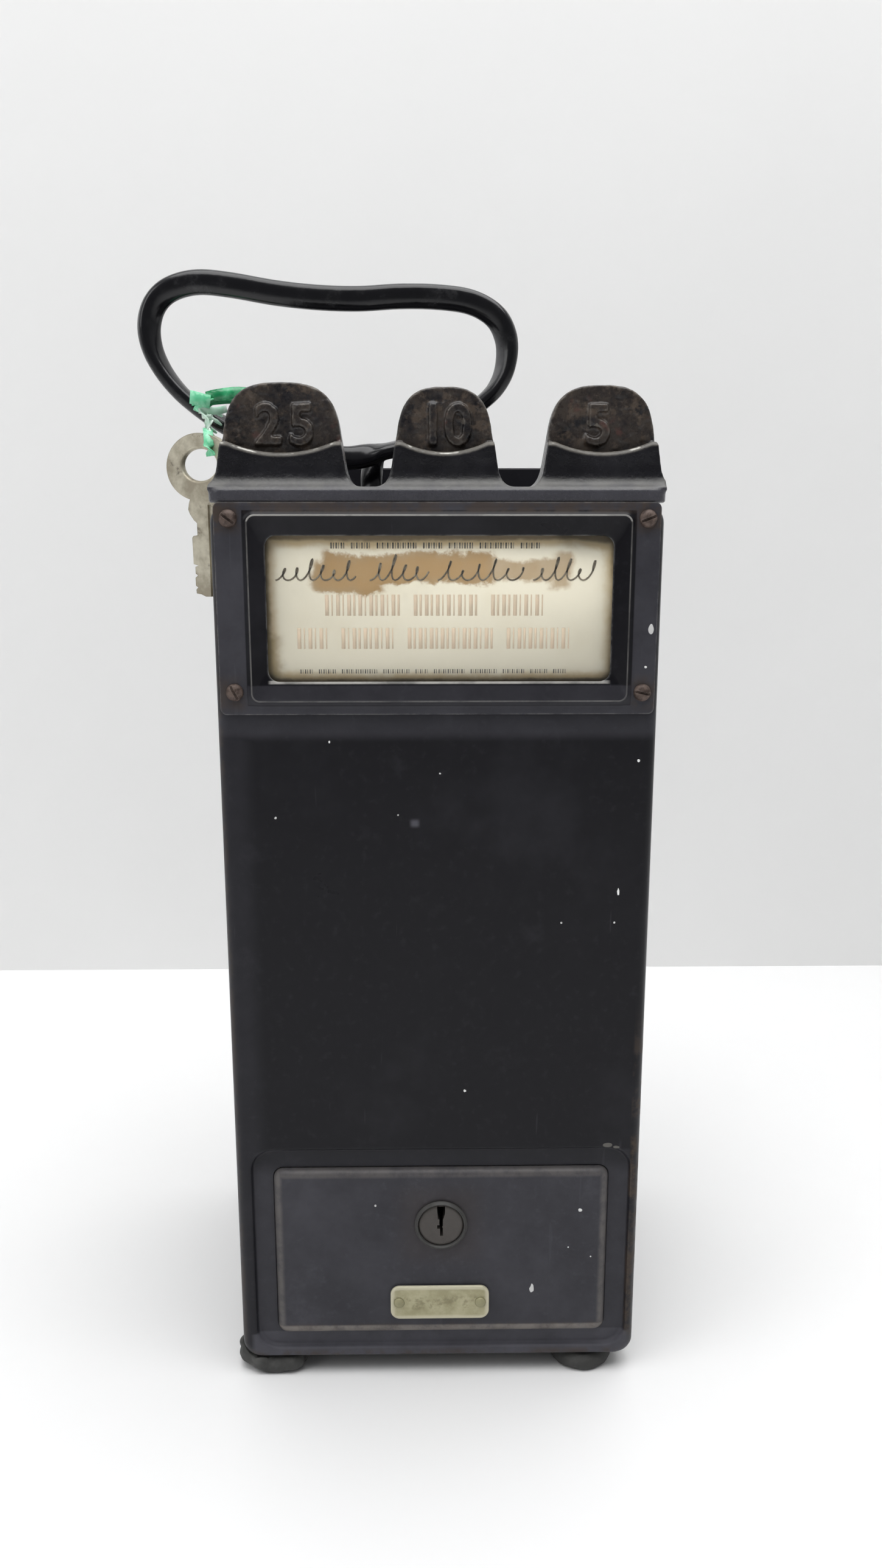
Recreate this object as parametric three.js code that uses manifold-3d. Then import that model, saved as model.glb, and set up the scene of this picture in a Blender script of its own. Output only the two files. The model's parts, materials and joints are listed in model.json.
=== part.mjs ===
// Three-slot coin collector of an early pay telephone, with its looped cord and hanging key.
// Millimetres, +Z up. The front faces -Y and the box stands on z = 0.
import * as THREE from "three";
import { mergeVertices } from "three/addons/utils/BufferGeometryUtils.js";
import Module from "manifold-3d";

const wasm = await Module();
wasm.setup();

// ---------- driving dimensions ----------

const GAP = 0.3; // left between pieces that touch
const HOLE_SIDES = 8; // of a small round hole

const CASE = {
  half: 50.8, // half width
  front: -44.5,
  back: 45,
  bottom: 5,
  top: 221.4,
  wall: 1.5,
  edge: 3, // radius of the upright front edges
  corner: 4, // radius of the corners in the front view
};
const BACK = {
  front: 45.3,
  back: 46.9,
  top: 233,
  corner: 6,
  flange: 1.5, // thickness of the flanges inside the casing's sides
  flangeDepth: 9,
  flangeBottom: 18,
  flangeTop: 212,
};
const HANG_HOLES = { radius: 2.6, x: [-32, 32], z: [42, 196] };
const WIRE_HOLE = { radius: 5, x: 0, z: 120 };

const HEAD = {
  bottom: CASE.top + GAP,
  top: 225.2,
  front: -45,
  back: 6,
  lipFront: -42,
  slotFront: -40.4,
  slotBack: -38,
  earBack: -34.6,
  rootBack: -29,
  lipTop: 235,
  shoulder: 1.1, // flat end of each lip
  waist: 236.8, // height at which an ear's round top begins
  fillet: 3.4,
  plinth: 4.4, // height of the flare round a gauge's foot
};
const COIN_SLOT_TOP = CASE.top - 3;
const GAUGES = [
  { coin: "25", x: -34.7, half: 12.9, top: 247.8, slot: 25.2, sag: 2.4 },
  { coin: "10", x: 1.6, half: 10.5, top: 246.9, slot: 18.8, sag: 2.2 },
  { coin: "5", x: 36.7, half: 11.7, top: 247.3, slot: 22.1, sag: 2.2 },
];

const WINDOW = {
  plateHalf: 49.5,
  plateTop: 221.2,
  plateBottom: 174.6,
  plateBack: CASE.front - GAP,
  plate: 0.8,
  ringHalf: 42.7,
  ringTop: 219.2,
  ringBottom: 177.6,
  ringFront: -46.5,
  openHalf: 38.8,
  openTop: 214.6,
  openBottom: 182.1,
  x: 0.4, // the ring sits a little to the right of the middle
};
const FRAME_SCREWS = [
  { x: -46.2, z: 218.3, turn: 35 },
  { x: 46.6, z: 218.3, turn: -20 },
  { x: -46.1, z: 179.8, turn: 62 },
  { x: 46.6, z: 179.6, turn: 12 },
];

const VAULT = {
  x: 0.8, // centre of the door
  doorHalf: 42.1,
  doorBottom: 12.7,
  doorTop: 59,
  doorFront: -45.1,
  doorBack: -42.5,
  doorCorner: 2.4,
  channel: 5.4, // width of the recess round the door
  recess: 1.5, // its depth
  clearance: 0.5,
  trayHalf: 38,
  trayFloor: 14.4,
  trayTop: 54,
  trayFront: -17,
  trayBack: 36,
  runnerEnd: 30, // runners reach this far in front of and behind the middle
  sheet: 1.2,
};
const LOCK = {
  x: 0.7,
  z: 44.2,
  ring: 6.8, // radii
  barrel: 6.2,
  bore: 5.75,
  plug: 5.6,
  front: -46.8,
  ringBack: VAULT.doorFront - GAP,
  barrelBack: -27,
  plugFront: -45.8,
  plugBack: -26,
  camBack: -24.2,
  camReach: 22.5,
};
const PLATE = {
  x: 0.4,
  z: 22.3,
  half: 12.6,
  halfHeight: 4.65,
  thick: 0.7,
  corner: 2.3,
  rivet: 1.4,
  rivetX: 10.4,
  rivetHole: 0.9,
};

const MECH = { y: 4, thick: 1.2, half: 46, bottom: 98, top: 212, tabBottom: 120, tabTop: 190 };
const GONG = { x: -24, z: 168, radius: 20, depth: 11, wall: 1.2, back: -12, hole: 3 };
const SPIRAL = { x: 23, z: 166, y: -14, wire: 1.1, inner: 6, outer: 19, turns: 3.25 };
const STRIKER = { x: 5, z: 139, thick: 1.6, front: -19, hammer: 2.6, reach: 19.5, aim: 119 };
const TRANSMITTER = { x: 0, z: 160, radius: 17, front: 7.4, back: 23, bracket: 20, leg: 19, flat: 23 };
const TERMINAL_BLOCK = { x0: -31, x1: -4, front: 34, z0: 192, z1: 206, screws: [-24, -11] };
const HOPPER = {
  top: 82,
  bottom: 57,
  topHalf: 47,
  bottomHalf: 34,
  y: 9,
  topDepth: 18, // half depths
  bottomDepth: 17,
  wall: 1,
};
// The middle line of a chute as [y, z]: down from its slot, then back to the hopper.
const CHUTE = { drop: -39.2, bend: 122, endY: -12, endZ: 84.5, half: 1.8, inside: 1.2, side: 0.6 };

const FOOT_HEIGHT = CASE.bottom - GAP;
const FOOT_HOLE = 2.6;
const FOOT_STEM = 2.2;
const FEET = [
  { name: "foot_front_left", x: -42.4, y: -35.4, radius: 9.1 },
  { name: "foot_front_right", x: 38, y: -36.3, radius: 8.3 },
  { name: "foot_rear_left", x: -39, y: 34, radius: 8 },
  { name: "foot_rear_right", x: 39, y: 34, radius: 8 },
];

const CORD = { radius: 2.9, sides: 8, steps: 64 };
// The looped cord: up out of the casing, over to the left, and back to the right into the casing.
const CORD_ROUTE = [
  [-17.3, 21, 218.5],
  [-17.3, 21, 224],
  [-17.3, 22.2, 228.4],
  [-17, 24, 232.2],
  [-15.6, 24.8, 235.2],
  [-12.9, 24.8, 236.7],
  [-7.6, 23.8, 238],
  [-1.6, 22.6, 240.4],
  [4, 21.3, 243.2],
  [8.4, 20.3, 245.8],
  [12.8, 20, 249],
  [16.4, 20, 252.6],
  [18.7, 20, 257.4],
  [19.3, 20, 263.6],
  [17.6, 20, 268.8],
  [14.2, 20, 272.2],
  [8.5, 20, 274.6],
  [0, 20, 275.6],
  [-9.5, 20, 275.7],
  [-20.2, 20, 275.1],
  [-31, 20, 275.4],
  [-42, 20, 276.5],
  [-53, 20, 278.3],
  [-61, 20, 279.1],
  [-66.8, 20, 278.3],
  [-71.4, 20, 276.1],
  [-74.4, 20, 272.4],
  [-75.6, 20, 267.4],
  [-74.8, 20, 262],
  [-72.2, 20, 256.6],
  [-68.4, 20, 251.7],
  [-64.4, 20, 248.1],
  [-60, 19.8, 245],
  [-55, 19.4, 242.3],
  [-48, 18.7, 239.6],
  [-40, 18, 237.2],
  [-32, 17.4, 235.2],
  [-24.2, 17, 234.3],
  [-18.8, 17, 234.9],
  [-14.7, 17, 235.8],
  [-10.7, 17, 236.6],
  [-5.5, 17, 237.6],
  [-0.8, 17.2, 237.3],
  [2.5, 17.8, 235],
  [3.8, 19.2, 231],
  [3.9, 21, 225.5],
  [3.9, 21, 218.5],
];
const BUSHING = {
  x: -6.7,
  y: 21,
  halfX: 16.2,
  halfY: 5.6,
  neck: 1.2, // the neck is this much smaller all round
  top: 223.6,
  bottom: 219.2,
  hole: 3.4,
  holes: [-17.3, 3.9],
};

const KEY = {
  x: -61.9,
  y: 11.6,
  yaw: -24, // degrees about the upright
  thick: 2.4,
  bow: [10.2, 8.7], // half width and half height
  bowZ: 231.7,
  hole: [5.4, 4.1],
  holeZ: 232.3,
};
const TIE = { centre: [-63.6, 20, 247.5], slope: 35, radius: 4.4, bar: 0.9 };
// The tie's loop, from the collar's front down through the key's bow and back up.
const TIE_LOOP = [
  [-62.6, 15.7, 247],
  [-61.8, 12, 246.4],
  [-60.6, 8.5, 242.6],
  [-60.1, 7.6, 238.6],
  [-60.1, 8.9, 234.6],
  [-60.1, 12.4, 234.6],
  [-60.3, 14.4, 238.6],
  [-61.6, 15.8, 243],
];

// ---------- shapes to solids ----------

function solid(geometry) {
  const bare = geometry.index ? geometry.toNonIndexed() : geometry.clone();
  bare.deleteAttribute("normal");
  bare.deleteAttribute("uv");
  const merged = mergeVertices(bare, 1e-4);
  const triVerts = new Uint32Array(merged.index.array);
  const vertProperties = merged.attributes.position.array;
  const made = new wasm.Manifold(new wasm.Mesh({ numProp: 3, vertProperties, triVerts }));
  if (made.volume() > 0) return made;
  triVerts.reverse();
  return new wasm.Manifold(new wasm.Mesh({ numProp: 3, vertProperties, triVerts }));
}

function geometryOf(body) {
  const mesh = body.getMesh();
  const geometry = new THREE.BufferGeometry();
  geometry.setAttribute("position", new THREE.BufferAttribute(mesh.vertProperties, 3));
  geometry.setIndex(new THREE.BufferAttribute(mesh.triVerts, 1));
  geometry.computeVertexNormals();
  return geometry;
}

const join = (first, ...others) => others.reduce((sum, next) => sum.add(next), first);
const cut = (first, ...others) => others.reduce((left, next) => left.subtract(next), first);

function box(x0, x1, y0, y1, z0, z1) {
  const geometry = new THREE.BoxGeometry(x1 - x0, y1 - y0, z1 - z0);
  geometry.translate((x0 + x1) / 2, (y0 + y1) / 2, (z0 + z1) / 2);
  return solid(geometry);
}

function roundedRect(x0, x1, y0, y1, radius) {
  const shape = new THREE.Shape();
  shape.absarc(x1 - radius, y1 - radius, radius, 0, Math.PI / 2);
  shape.absarc(x0 + radius, y1 - radius, radius, Math.PI / 2, Math.PI);
  shape.absarc(x0 + radius, y0 + radius, radius, Math.PI, Math.PI * 1.5);
  shape.absarc(x1 - radius, y0 + radius, radius, Math.PI * 1.5, Math.PI * 2);
  shape.closePath();
  return shape;
}

function circle(x, y, radius) {
  const shape = new THREE.Shape();
  shape.absarc(x, y, radius, 0, Math.PI * 2);
  return shape;
}

function ellipse(x, y, halfWidth, halfHeight) {
  const shape = new THREE.Shape();
  shape.absellipse(x, y, halfWidth, halfHeight, 0, Math.PI * 2, false, 0);
  return shape;
}

const outline = (points) => new THREE.Shape(points.map(([a, b]) => new THREE.Vector2(a, b)));

// A shape drawn in X and Z, made solid from y0 to y1.
function slabXZ(shape, y0, y1, steps = 4, bevel = null) {
  const options = { depth: y1 - y0, steps: 1, curveSegments: steps, bevelEnabled: false };
  if (bevel) {
    Object.assign(options, { bevelEnabled: true, bevelSize: bevel, bevelThickness: bevel });
    Object.assign(options, { bevelOffset: -bevel, bevelSegments: 2, depth: y1 - y0 - 2 * bevel });
  }
  const geometry = new THREE.ExtrudeGeometry(shape, options);
  geometry.rotateX(Math.PI / 2);
  geometry.translate(0, y1 - (bevel || 0), 0);
  return solid(geometry);
}

// A shape drawn in X and Y, made solid from z0 to z1.
function slabXY(shape, z0, z1, steps = 4) {
  const options = { depth: z1 - z0, steps: 1, curveSegments: steps, bevelEnabled: false };
  const geometry = new THREE.ExtrudeGeometry(shape, options);
  geometry.translate(0, 0, z0);
  return solid(geometry);
}

// A shape drawn in Y and Z, made solid from x0 to x1.
function slabYZ(shape, x0, x1, steps = 4) {
  const options = { depth: x1 - x0, steps: 1, curveSegments: steps, bevelEnabled: false };
  const geometry = new THREE.ExtrudeGeometry(shape, options);
  const [x, y, z] = [[1, 0, 0], [0, 1, 0], [0, 0, 1]].map((a) => new THREE.Vector3(...a));
  geometry.applyMatrix4(new THREE.Matrix4().makeBasis(y, z, x));
  geometry.translate(x0, 0, 0);
  return solid(geometry);
}

// A profile of [radius, y] points turned about an axis along Y.
function turnedY(profile, x, z, segments = 24) {
  const geometry = new THREE.LatheGeometry(profile.map(([r, y]) => new THREE.Vector2(r, y)), segments);
  geometry.translate(x, 0, z);
  return solid(geometry);
}

// A profile of [radius, z] points turned about an upright axis.
function turnedZ(profile, x, y, segments = 24) {
  const geometry = new THREE.LatheGeometry(profile.map(([r, z]) => new THREE.Vector2(r, z)), segments);
  geometry.rotateX(Math.PI / 2);
  geometry.translate(x, y, 0);
  return solid(geometry);
}

const rodY = (x, z, radius, y0, y1, segments = 16) =>
  turnedY([[0, y0], [radius, y0], [radius, y1], [0, y1]], x, z, segments);

const rodZ = (x, y, radius, z0, z1, segments = 16) =>
  turnedZ([[0, z0], [radius, z0], [radius, z1], [0, z1]], x, y, segments);

// A rounded rectangle about a middle x, larger than its sizes by grow.
const growRect = (x, half, z0, z1, radius, grow) =>
  roundedRect(x - half - grow, x + half + grow, z0 - grow, z1 + grow, radius + grow);

// A box from the middle out to one side.
function sideBox(side, near, far, y0, y1, z0, z1) {
  const [x0, x1] = [side * near, side * far];
  return box(Math.min(x0, x1), Math.max(x0, x1), y0, y1, z0, z1);
}

// A band of even width along a bent line, for the bent channels.
function band(points, half) {
  const at = points.map(([a, b]) => new THREE.Vector2(a, b));
  const side = (i, sign) => {
    const before = at[Math.max(i - 1, 0)];
    const after = at[Math.min(i + 1, at.length - 1)];
    const incoming = (i ? at[i].clone().sub(before) : after.clone().sub(at[i])).normalize();
    const outgoing = (i < at.length - 1 ? after.clone().sub(at[i]) : incoming.clone()).normalize();
    const normal = new THREE.Vector2(-incoming.y - outgoing.y, incoming.x + outgoing.x).normalize();
    const reach = half / Math.abs(normal.x * -incoming.y + normal.y * incoming.x);
    return at[i].clone().addScaledVector(normal, sign * reach);
  };
  const left = at.map((_, i) => side(i, 1));
  const right = at.map((_, i) => side(i, -1)).reverse();
  return new THREE.Shape([...left, ...right]);
}

// A round bar along a curve.
function bar(curve, radius, sides, steps) {
  const section = new THREE.Shape();
  for (let i = 0; i < sides; i++) {
    const angle = (2 * Math.PI * i) / sides;
    const move = i ? "lineTo" : "moveTo";
    section[move](radius * Math.cos(angle), radius * Math.sin(angle));
  }
  section.closePath();
  return solid(new THREE.ExtrudeGeometry(section, { extrudePath: curve, steps, bevelEnabled: false }));
}

// ---------- materials and the group ----------

const finish = (color, roughness, metalness = 0) => ({ color, roughness, metalness });
const BLACK = finish(0x1c1c1e, 0.38);
const WORN = finish(0x3a332e, 0.55, 0.3);
const STEEL = finish(0x8d8a84, 0.42, 0.9);
const RUSTY = finish(0x6b5648, 0.6, 0.7);
const BRASS = finish(0xa8925a, 0.38, 0.9);
const RUBBER = finish(0x171717, 0.75);

const part = new THREE.Group();

function add(name, body, look) {
  const mesh = new THREE.Mesh(geometryOf(body), new THREE.MeshStandardMaterial(look));
  mesh.name = name;
  part.add(mesh);
  return mesh;
}

// ---------- casing and back ----------

const SIDE_SCREWS = [200, 30].flatMap((z) => [-1, 1].map((side) => ({ z, side })));
const SIDE_SCREW_Y = 40;
const SIDE_SCREW_HOLE = 1.7;
const HEAD_SCREWS = [-30, 32];
const HEAD_SCREW_Y = 0;

function rodX(z, radius, x0, x1) {
  const geometry = new THREE.CylinderGeometry(radius, radius, Math.abs(x1 - x0), HOLE_SIDES);
  geometry.rotateZ(Math.PI / 2);
  geometry.translate((x0 + x1) / 2, SIDE_SCREW_Y, z);
  return solid(geometry);
}

// The recess round the vault door, its floor, and the doorway through it.
function vaultShapes() {
  const { x, doorHalf, doorBottom, doorTop, doorCorner, channel, clearance } = VAULT;
  const low = doorBottom - channel + 1;
  const high = doorTop + channel;
  const recess = growRect(x, doorHalf + channel, low, high, 5.5, 0);
  const floor = growRect(x, doorHalf + channel, low, high + 1, 5.2, 0.8);
  const doorway = growRect(x, doorHalf, doorBottom, doorTop, doorCorner - clearance, clearance);
  return { recess, floor, doorway };
}

function casingShell() {
  const { half, front, back, bottom, top, wall, edge, corner } = CASE;
  const face = roundedRect(-half, half, bottom, top, corner);
  const plan = roundedRect(-half, half, front, back + edge + 1, edge);
  const outside = slabXZ(face, front, back).intersect(slabXY(plan, bottom, top));
  const inFace = roundedRect(-half + wall, half - wall, bottom + wall, top - wall, corner - wall);
  const inPlan = roundedRect(-half + wall, half - wall, front + wall, back + edge + 1, edge - wall);
  const inside = slabXZ(inFace, front + wall, back + 1).intersect(slabXY(inPlan, bottom, top, 3));
  const shapes = vaultShapes();
  const middle = front + VAULT.recess + wall;
  const shell = join(
    cut(outside, inside, slabXZ(shapes.recess, front - 1, front + VAULT.recess)),
    slabXZ(shapes.floor, front + VAULT.recess, middle),
  );
  return shell.subtract(slabXZ(shapes.doorway, front - 1, middle + 1));
}

function casingHoles() {
  const { half, front, bottom, top, wall } = CASE;
  const { x, openHalf, openBottom, openTop } = WINDOW;
  const card = growRect(x, openHalf, openBottom, openTop, 0.3, 1.7);
  const { halfX, halfY, neck } = BUSHING;
  const [reachX, reachY] = [halfX - neck + GAP, halfY - neck + GAP];
  const cordWay = roundedRect(
    BUSHING.x - reachX, BUSHING.x + reachX, BUSHING.y - reachY, BUSHING.y + reachY, reachY - 0.1);
  const screw = 1.3;
  return [
    slabXZ(card, front - 1, front + wall + 1),
    slabXY(cordWay, top - wall - 1, top + 1),
    ...FRAME_SCREWS.map(({ x: sx, z }) => rodY(sx, z, screw, front - 1, front + 3, HOLE_SIDES)),
    ...SIDE_SCREWS.map(({ z, side }) => rodX(z, SIDE_SCREW_HOLE, side * (half - 3), side * (half + 1))),
    ...HEAD_SCREWS.map((sx) => rodZ(sx, HEAD_SCREW_Y, screw, top - 4, top + 1, HOLE_SIDES)),
    ...FEET.map((foot) => rodZ(foot.x, foot.y, FOOT_HOLE, bottom - 1, bottom + 3, HOLE_SIDES)),
    ...GAUGES.map(({ x: gx, slot }) =>
      box(gx - slot / 2, gx + slot / 2, HEAD.slotFront, HEAD.slotBack, COIN_SLOT_TOP, top + 1)),
  ];
}

const casing = () => cut(casingShell(), ...casingHoles());

function backPlate() {
  const { front, back, top, corner, flange, flangeDepth, flangeBottom, flangeTop } = BACK;
  const plate = slabXZ(roundedRect(-CASE.half, CASE.half, CASE.bottom, top, corner), front, back);
  const outer = CASE.half - CASE.wall - GAP;
  const flanges = [-1, 1].map((side) =>
    sideBox(side, outer - flange, outer, front - flangeDepth, front + 0.5, flangeBottom, flangeTop));
  const screws = SIDE_SCREWS.map(({ z, side }) =>
    rodX(z, SIDE_SCREW_HOLE, side * (CASE.half - 6), side * CASE.half));
  const hanging = HANG_HOLES.x.flatMap((x) =>
    HANG_HOLES.z.map((z) => rodY(x, z, HANG_HOLES.radius, front - 1, back + 1, 12)));
  const wires = rodY(WIRE_HOLE.x, WIRE_HOLE.z, WIRE_HOLE.radius, front - 1, back + 1);
  return cut(join(plate, ...flanges), ...screws, ...hanging, wires);
}

// ---------- coin head ----------

// Front view of one gauge: flared foot, straight tapered sides and a rounded top.
function gaugeOutline({ x, half, top }) {
  const { fillet, plinth, waist } = HEAD;
  const level = HEAD.top;
  const hip = half + 1.3;
  const shape = new THREE.Shape();
  shape.moveTo(x - hip - fillet, level - 1);
  shape.lineTo(x - hip - fillet, level);
  shape.quadraticCurveTo(x - hip - 0.6, level + 0.2, x - hip, level + plinth);
  shape.lineTo(x - half - 0.2, waist);
  shape.bezierCurveTo(x - half + 0.6, top - 4.2, x - half * 0.78, top, x - 1, top);
  shape.lineTo(x + 1, top);
  shape.bezierCurveTo(x + half * 0.78, top, x + half - 0.6, top - 4.2, x + half + 0.2, waist);
  shape.lineTo(x + hip, level + plinth);
  shape.quadraticCurveTo(x + hip + 0.6, level + 0.2, x + hip + fillet, level);
  shape.lineTo(x + hip + fillet, level - 1);
  shape.closePath();
  return shape;
}

// Side view of a gauge before its slot is cut: lip in front, ear behind it.
function gaugeProfile(top) {
  const { lipFront, slotBack, earBack, rootBack, lipTop, plinth } = HEAD;
  const level = HEAD.top;
  const foot = HEAD.front + 0.7;
  const shape = new THREE.Shape();
  shape.moveTo(foot, level - 1);
  shape.lineTo(foot, level);
  shape.quadraticCurveTo(lipFront - 0.2, level + 0.6, lipFront, level + plinth);
  shape.lineTo(lipFront, lipTop);
  shape.lineTo(slotBack, lipTop);
  shape.lineTo(slotBack, top + 0.5);
  shape.lineTo(earBack, top + 0.5);
  shape.lineTo(earBack + 1.2, level + 2 * plinth);
  shape.quadraticCurveTo(earBack + 2, level + 1, rootBack, level);
  shape.lineTo(rootBack, level - 1);
  shape.closePath();
  return shape;
}

// The lip dips between its two flat shoulders: what is above a shallow arc is cut away.
function lipDip({ x, half, sag }) {
  const reach = half - HEAD.shoulder;
  const radius = (reach * reach + sag * sag) / (2 * sag);
  const centre = HEAD.lipTop - sag + radius;
  return rodY(x, centre, radius, HEAD.lipFront - 2, HEAD.slotFront + 1, 96);
}

function coinHead() {
  const { bottom, top, front, back, slotFront, slotBack, rootBack, lipTop } = HEAD;
  const bevel = 0.8;
  const across = CASE.half - bevel;
  const plan = roundedRect(-CASE.half, CASE.half, front, back, CASE.edge);
  const rim = roundedRect(-across, across, front + bevel, back - bevel, CASE.edge - bevel);
  const ledge = join(slabXY(plan, bottom, top - bevel), slabXY(rim, top - 1.2, top));
  const towers = GAUGES.map((gauge) =>
    slabXZ(gaugeOutline(gauge), front, rootBack, 6)
      .intersect(slabYZ(gaugeProfile(gauge.top), -CASE.half, CASE.half))
      .intersect(box(-CASE.half, CASE.half, front, back, bottom, gauge.top + 1)));
  const slots = GAUGES.map(({ x, slot }) =>
    box(x - slot / 2, x + slot / 2, slotFront, slotBack, bottom - 1, lipTop + 1));
  const screws = HEAD_SCREWS.map((x) => rodZ(x, HEAD_SCREW_Y, 1.8, bottom - 1, top + 1, HOLE_SIDES));
  return cut(join(ledge, ...towers), ...slots, ...GAUGES.map(lipDip), ...screws);
}

// ---------- window ----------

function windowFrame() {
  const { x, plateHalf, plateTop, plateBottom, plateBack, plate } = WINDOW;
  const { ringHalf, ringTop, ringBottom, ringFront, openHalf, openTop, openBottom } = WINDOW;
  const outer = roundedRect(-plateHalf, plateHalf, plateBottom, plateTop, 1.5);
  const sheet = slabXZ(outer, plateBack - plate, plateBack, 3);
  const ring = (grow, y0, y1) => slabXZ(growRect(x, ringHalf, ringBottom, ringTop, 3.4, grow), y0, y1);
  const hole = (grow, y0, y1) => slabXZ(growRect(x, openHalf, openBottom, openTop, 2.5, grow), y0, y1);
  const ringBack = plateBack - 0.2;
  const screws = FRAME_SCREWS.map(({ x: sx, z }) =>
    rodY(sx, z, 1.5, ringFront, plateBack + 1, HOLE_SIDES));
  return cut(
    join(sheet, ring(-0.2, plateBack - 2 * plate, ringBack), ring(-0.6, ringFront, ringBack)),
    hole(2.2, ringFront - 1, ringFront + 0.7),
    hole(0, ringFront - 1, plateBack + 1),
    ...screws,
  );
}

// Slotted round-head screw, head towards -Y, seated at the origin.
function screwGeometry(head, height, shank, length, slot) {
  const body = turnedY(
    [
      [0, -height], [head * 0.55, -height * 0.92], [head * 0.88, -height * 0.6], [head, -0.12],
      [head, 0], [shank, 0], [shank, length], [0, length],
    ],
    0, 0, 10);
  return body.subtract(box(-head - 1, head + 1, -height - 1, -height * 0.45, -slot / 2, slot / 2));
}

function addScrew(name, size, look, place, facing) {
  const { head, height, shank, length, slot } = size;
  const screw = add(name, screwGeometry(head, height, shank, length, slot), look);
  screw.position.set(...place);
  screw.rotation.set(...facing);
}

const slotTurn = (degrees) => THREE.MathUtils.degToRad(degrees);

// A flat sheet behind the window's opening, larger than it by grow.
function windowSheet(grow, y0, y1) {
  const { x, openHalf, openBottom, openTop } = WINDOW;
  return slabXZ(growRect(x, openHalf, openBottom, openTop, 0.4, grow), y0, y1);
}

const pane = () => windowSheet(1.1, CASE.front + 0.1, CASE.front + 0.8);
const card = () => windowSheet(1.1, CASE.front + 1.1, CASE.front + 1.4);

function cardBacking() {
  const y = CASE.front + CASE.wall + GAP;
  return windowSheet(3.4, y, y + 0.8);
}

// ---------- coin path ----------

function chute({ x, slot }) {
  const { drop, bend, endY, endZ, half, inside, side } = CHUTE;
  const line = [[drop, COIN_SLOT_TOP + 0.1], [drop, bend], [endY, endZ]];
  const inner = [[drop, CASE.top + 4], [drop, bend], [endY + 3, endZ - 4.2]];
  const shell = slabYZ(band(line, half), x - slot / 2 - side, x + slot / 2 + side);
  const way = slabYZ(band(inner, inside), x - slot / 2, x + slot / 2);
  return shell.subtract(way);
}

// A four-sided funnel: wide at its top, narrower at its foot.
function funnel(grow, extra) {
  const { top, bottom, topHalf, bottomHalf, y, topDepth, bottomDepth } = HOPPER;
  const geometry = new THREE.BoxGeometry(2, 2, top - bottom + 2 * extra);
  const place = geometry.attributes.position;
  const slope = (topHalf - bottomHalf) / (top - bottom);
  for (let i = 0; i < place.count; i++) {
    const high = place.getZ(i) > 0;
    const halfX = (high ? topHalf + slope * extra : bottomHalf - slope * extra) + grow;
    const halfY = (high ? topDepth : bottomDepth) + grow;
    place.setXY(i, Math.sign(place.getX(i)) * halfX, y + Math.sign(place.getY(i)) * halfY);
    place.setZ(i, high ? top + extra : bottom - extra);
  }
  return solid(geometry);
}

// ---------- signals ----------

function bellGong() {
  const { x, z, radius, depth, wall, back, hole } = GONG;
  const front = back - depth;
  const outside = [
    [hole, front], [radius * 0.5, front], [radius * 0.8, front + 1.6], [radius * 0.95, front + 4.4],
    [radius, front + 7.5], [radius, back],
  ];
  const inside = [
    [radius - wall, back], [radius - wall, front + 7.6], [radius * 0.95 - wall, front + 4.8],
    [radius * 0.8 - wall * 0.6, front + 2.6], [radius * 0.5, front + wall], [hole, front + wall],
  ];
  return turnedY([...outside, ...inside, outside[0]], x, z, 28);
}

function gongPost() {
  const { x, z, depth, wall, back } = GONG;
  const front = back - depth + wall + GAP;
  return turnedY(
    [[1.5, front], [4.4, front], [4.4, MECH.y - GAP], [1.5, MECH.y - GAP], [1.5, front]], x, z, 16);
}

function cathedralGong() {
  const { x, z, y, wire, inner, outer, turns } = SPIRAL;
  class Spiral extends THREE.Curve {
    getPoint(t, target = new THREE.Vector3()) {
      const angle = t * turns * 2 * Math.PI;
      const reach = inner + (outer - inner) * t;
      return target.set(x + reach * Math.cos(angle), y, z + reach * Math.sin(angle));
    }
  }
  return bar(new Spiral(), wire, 6, 52);
}

function cathedralPost() {
  const { x, z, y, wire, outer } = SPIRAL;
  const top = z + outer;
  return box(x - 7, x - GAP - wire * 0.5, y - 3, MECH.y - GAP, top - 2, top + 4);
}

function strikerLever() {
  const { x, z, thick, front, hammer, reach, aim } = STRIKER;
  const angle = THREE.MathUtils.degToRad(aim);
  const [hx, hz] = [x + reach * Math.cos(angle), z + reach * Math.sin(angle)];
  const arm = slabXZ(band([[x, z], [hx, hz]], 1.5), front, front + thick);
  const tail = slabXZ(band([[x, z], [x + 4, z - 9]], 1.5), front, front + thick);
  const hub = rodY(x, z, 3.6, front, front + 5);
  const head = rodY(hx, hz, hammer, front - 1, front + 4, 16);
  return join(arm, tail, hub, head).subtract(rodY(x, z, 1.9, front - 5, front + 9, 16));
}

function strikerPin() {
  const { x, z, front } = STRIKER;
  const [cap, neck] = [front - 2, front - 1.2];
  return turnedY(
    [[0, cap], [3, cap], [3, neck], [1.6, neck], [1.6, MECH.y - GAP], [0, MECH.y - GAP]], x, z, 16);
}

function mechPlate() {
  const { y, thick, half, bottom, top, tabBottom, tabTop } = MECH;
  const plate = slabXZ(roundedRect(-half, half, bottom, top, 3), y, y + thick);
  const outer = CASE.half - CASE.wall - GAP;
  const sides = [-1, 1].flatMap((side) => [
    sideBox(side, half - 1.2, outer, y, y + thick, tabBottom, tabTop),
    sideBox(side, outer - 1.2, outer, y, y + 10, tabBottom, tabTop),
  ]);
  return join(plate, ...sides);
}

function transmitter() {
  const { x, z, radius, front, back } = TRANSMITTER;
  return turnedY(
    [
      [0, front], [radius - 2, front], [radius, front + 1.2], [radius, back - 5], [radius - 3, back - 2.6],
      [5, back - 2.6], [5, back], [0, back],
    ],
    x, z, 24);
}

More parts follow.
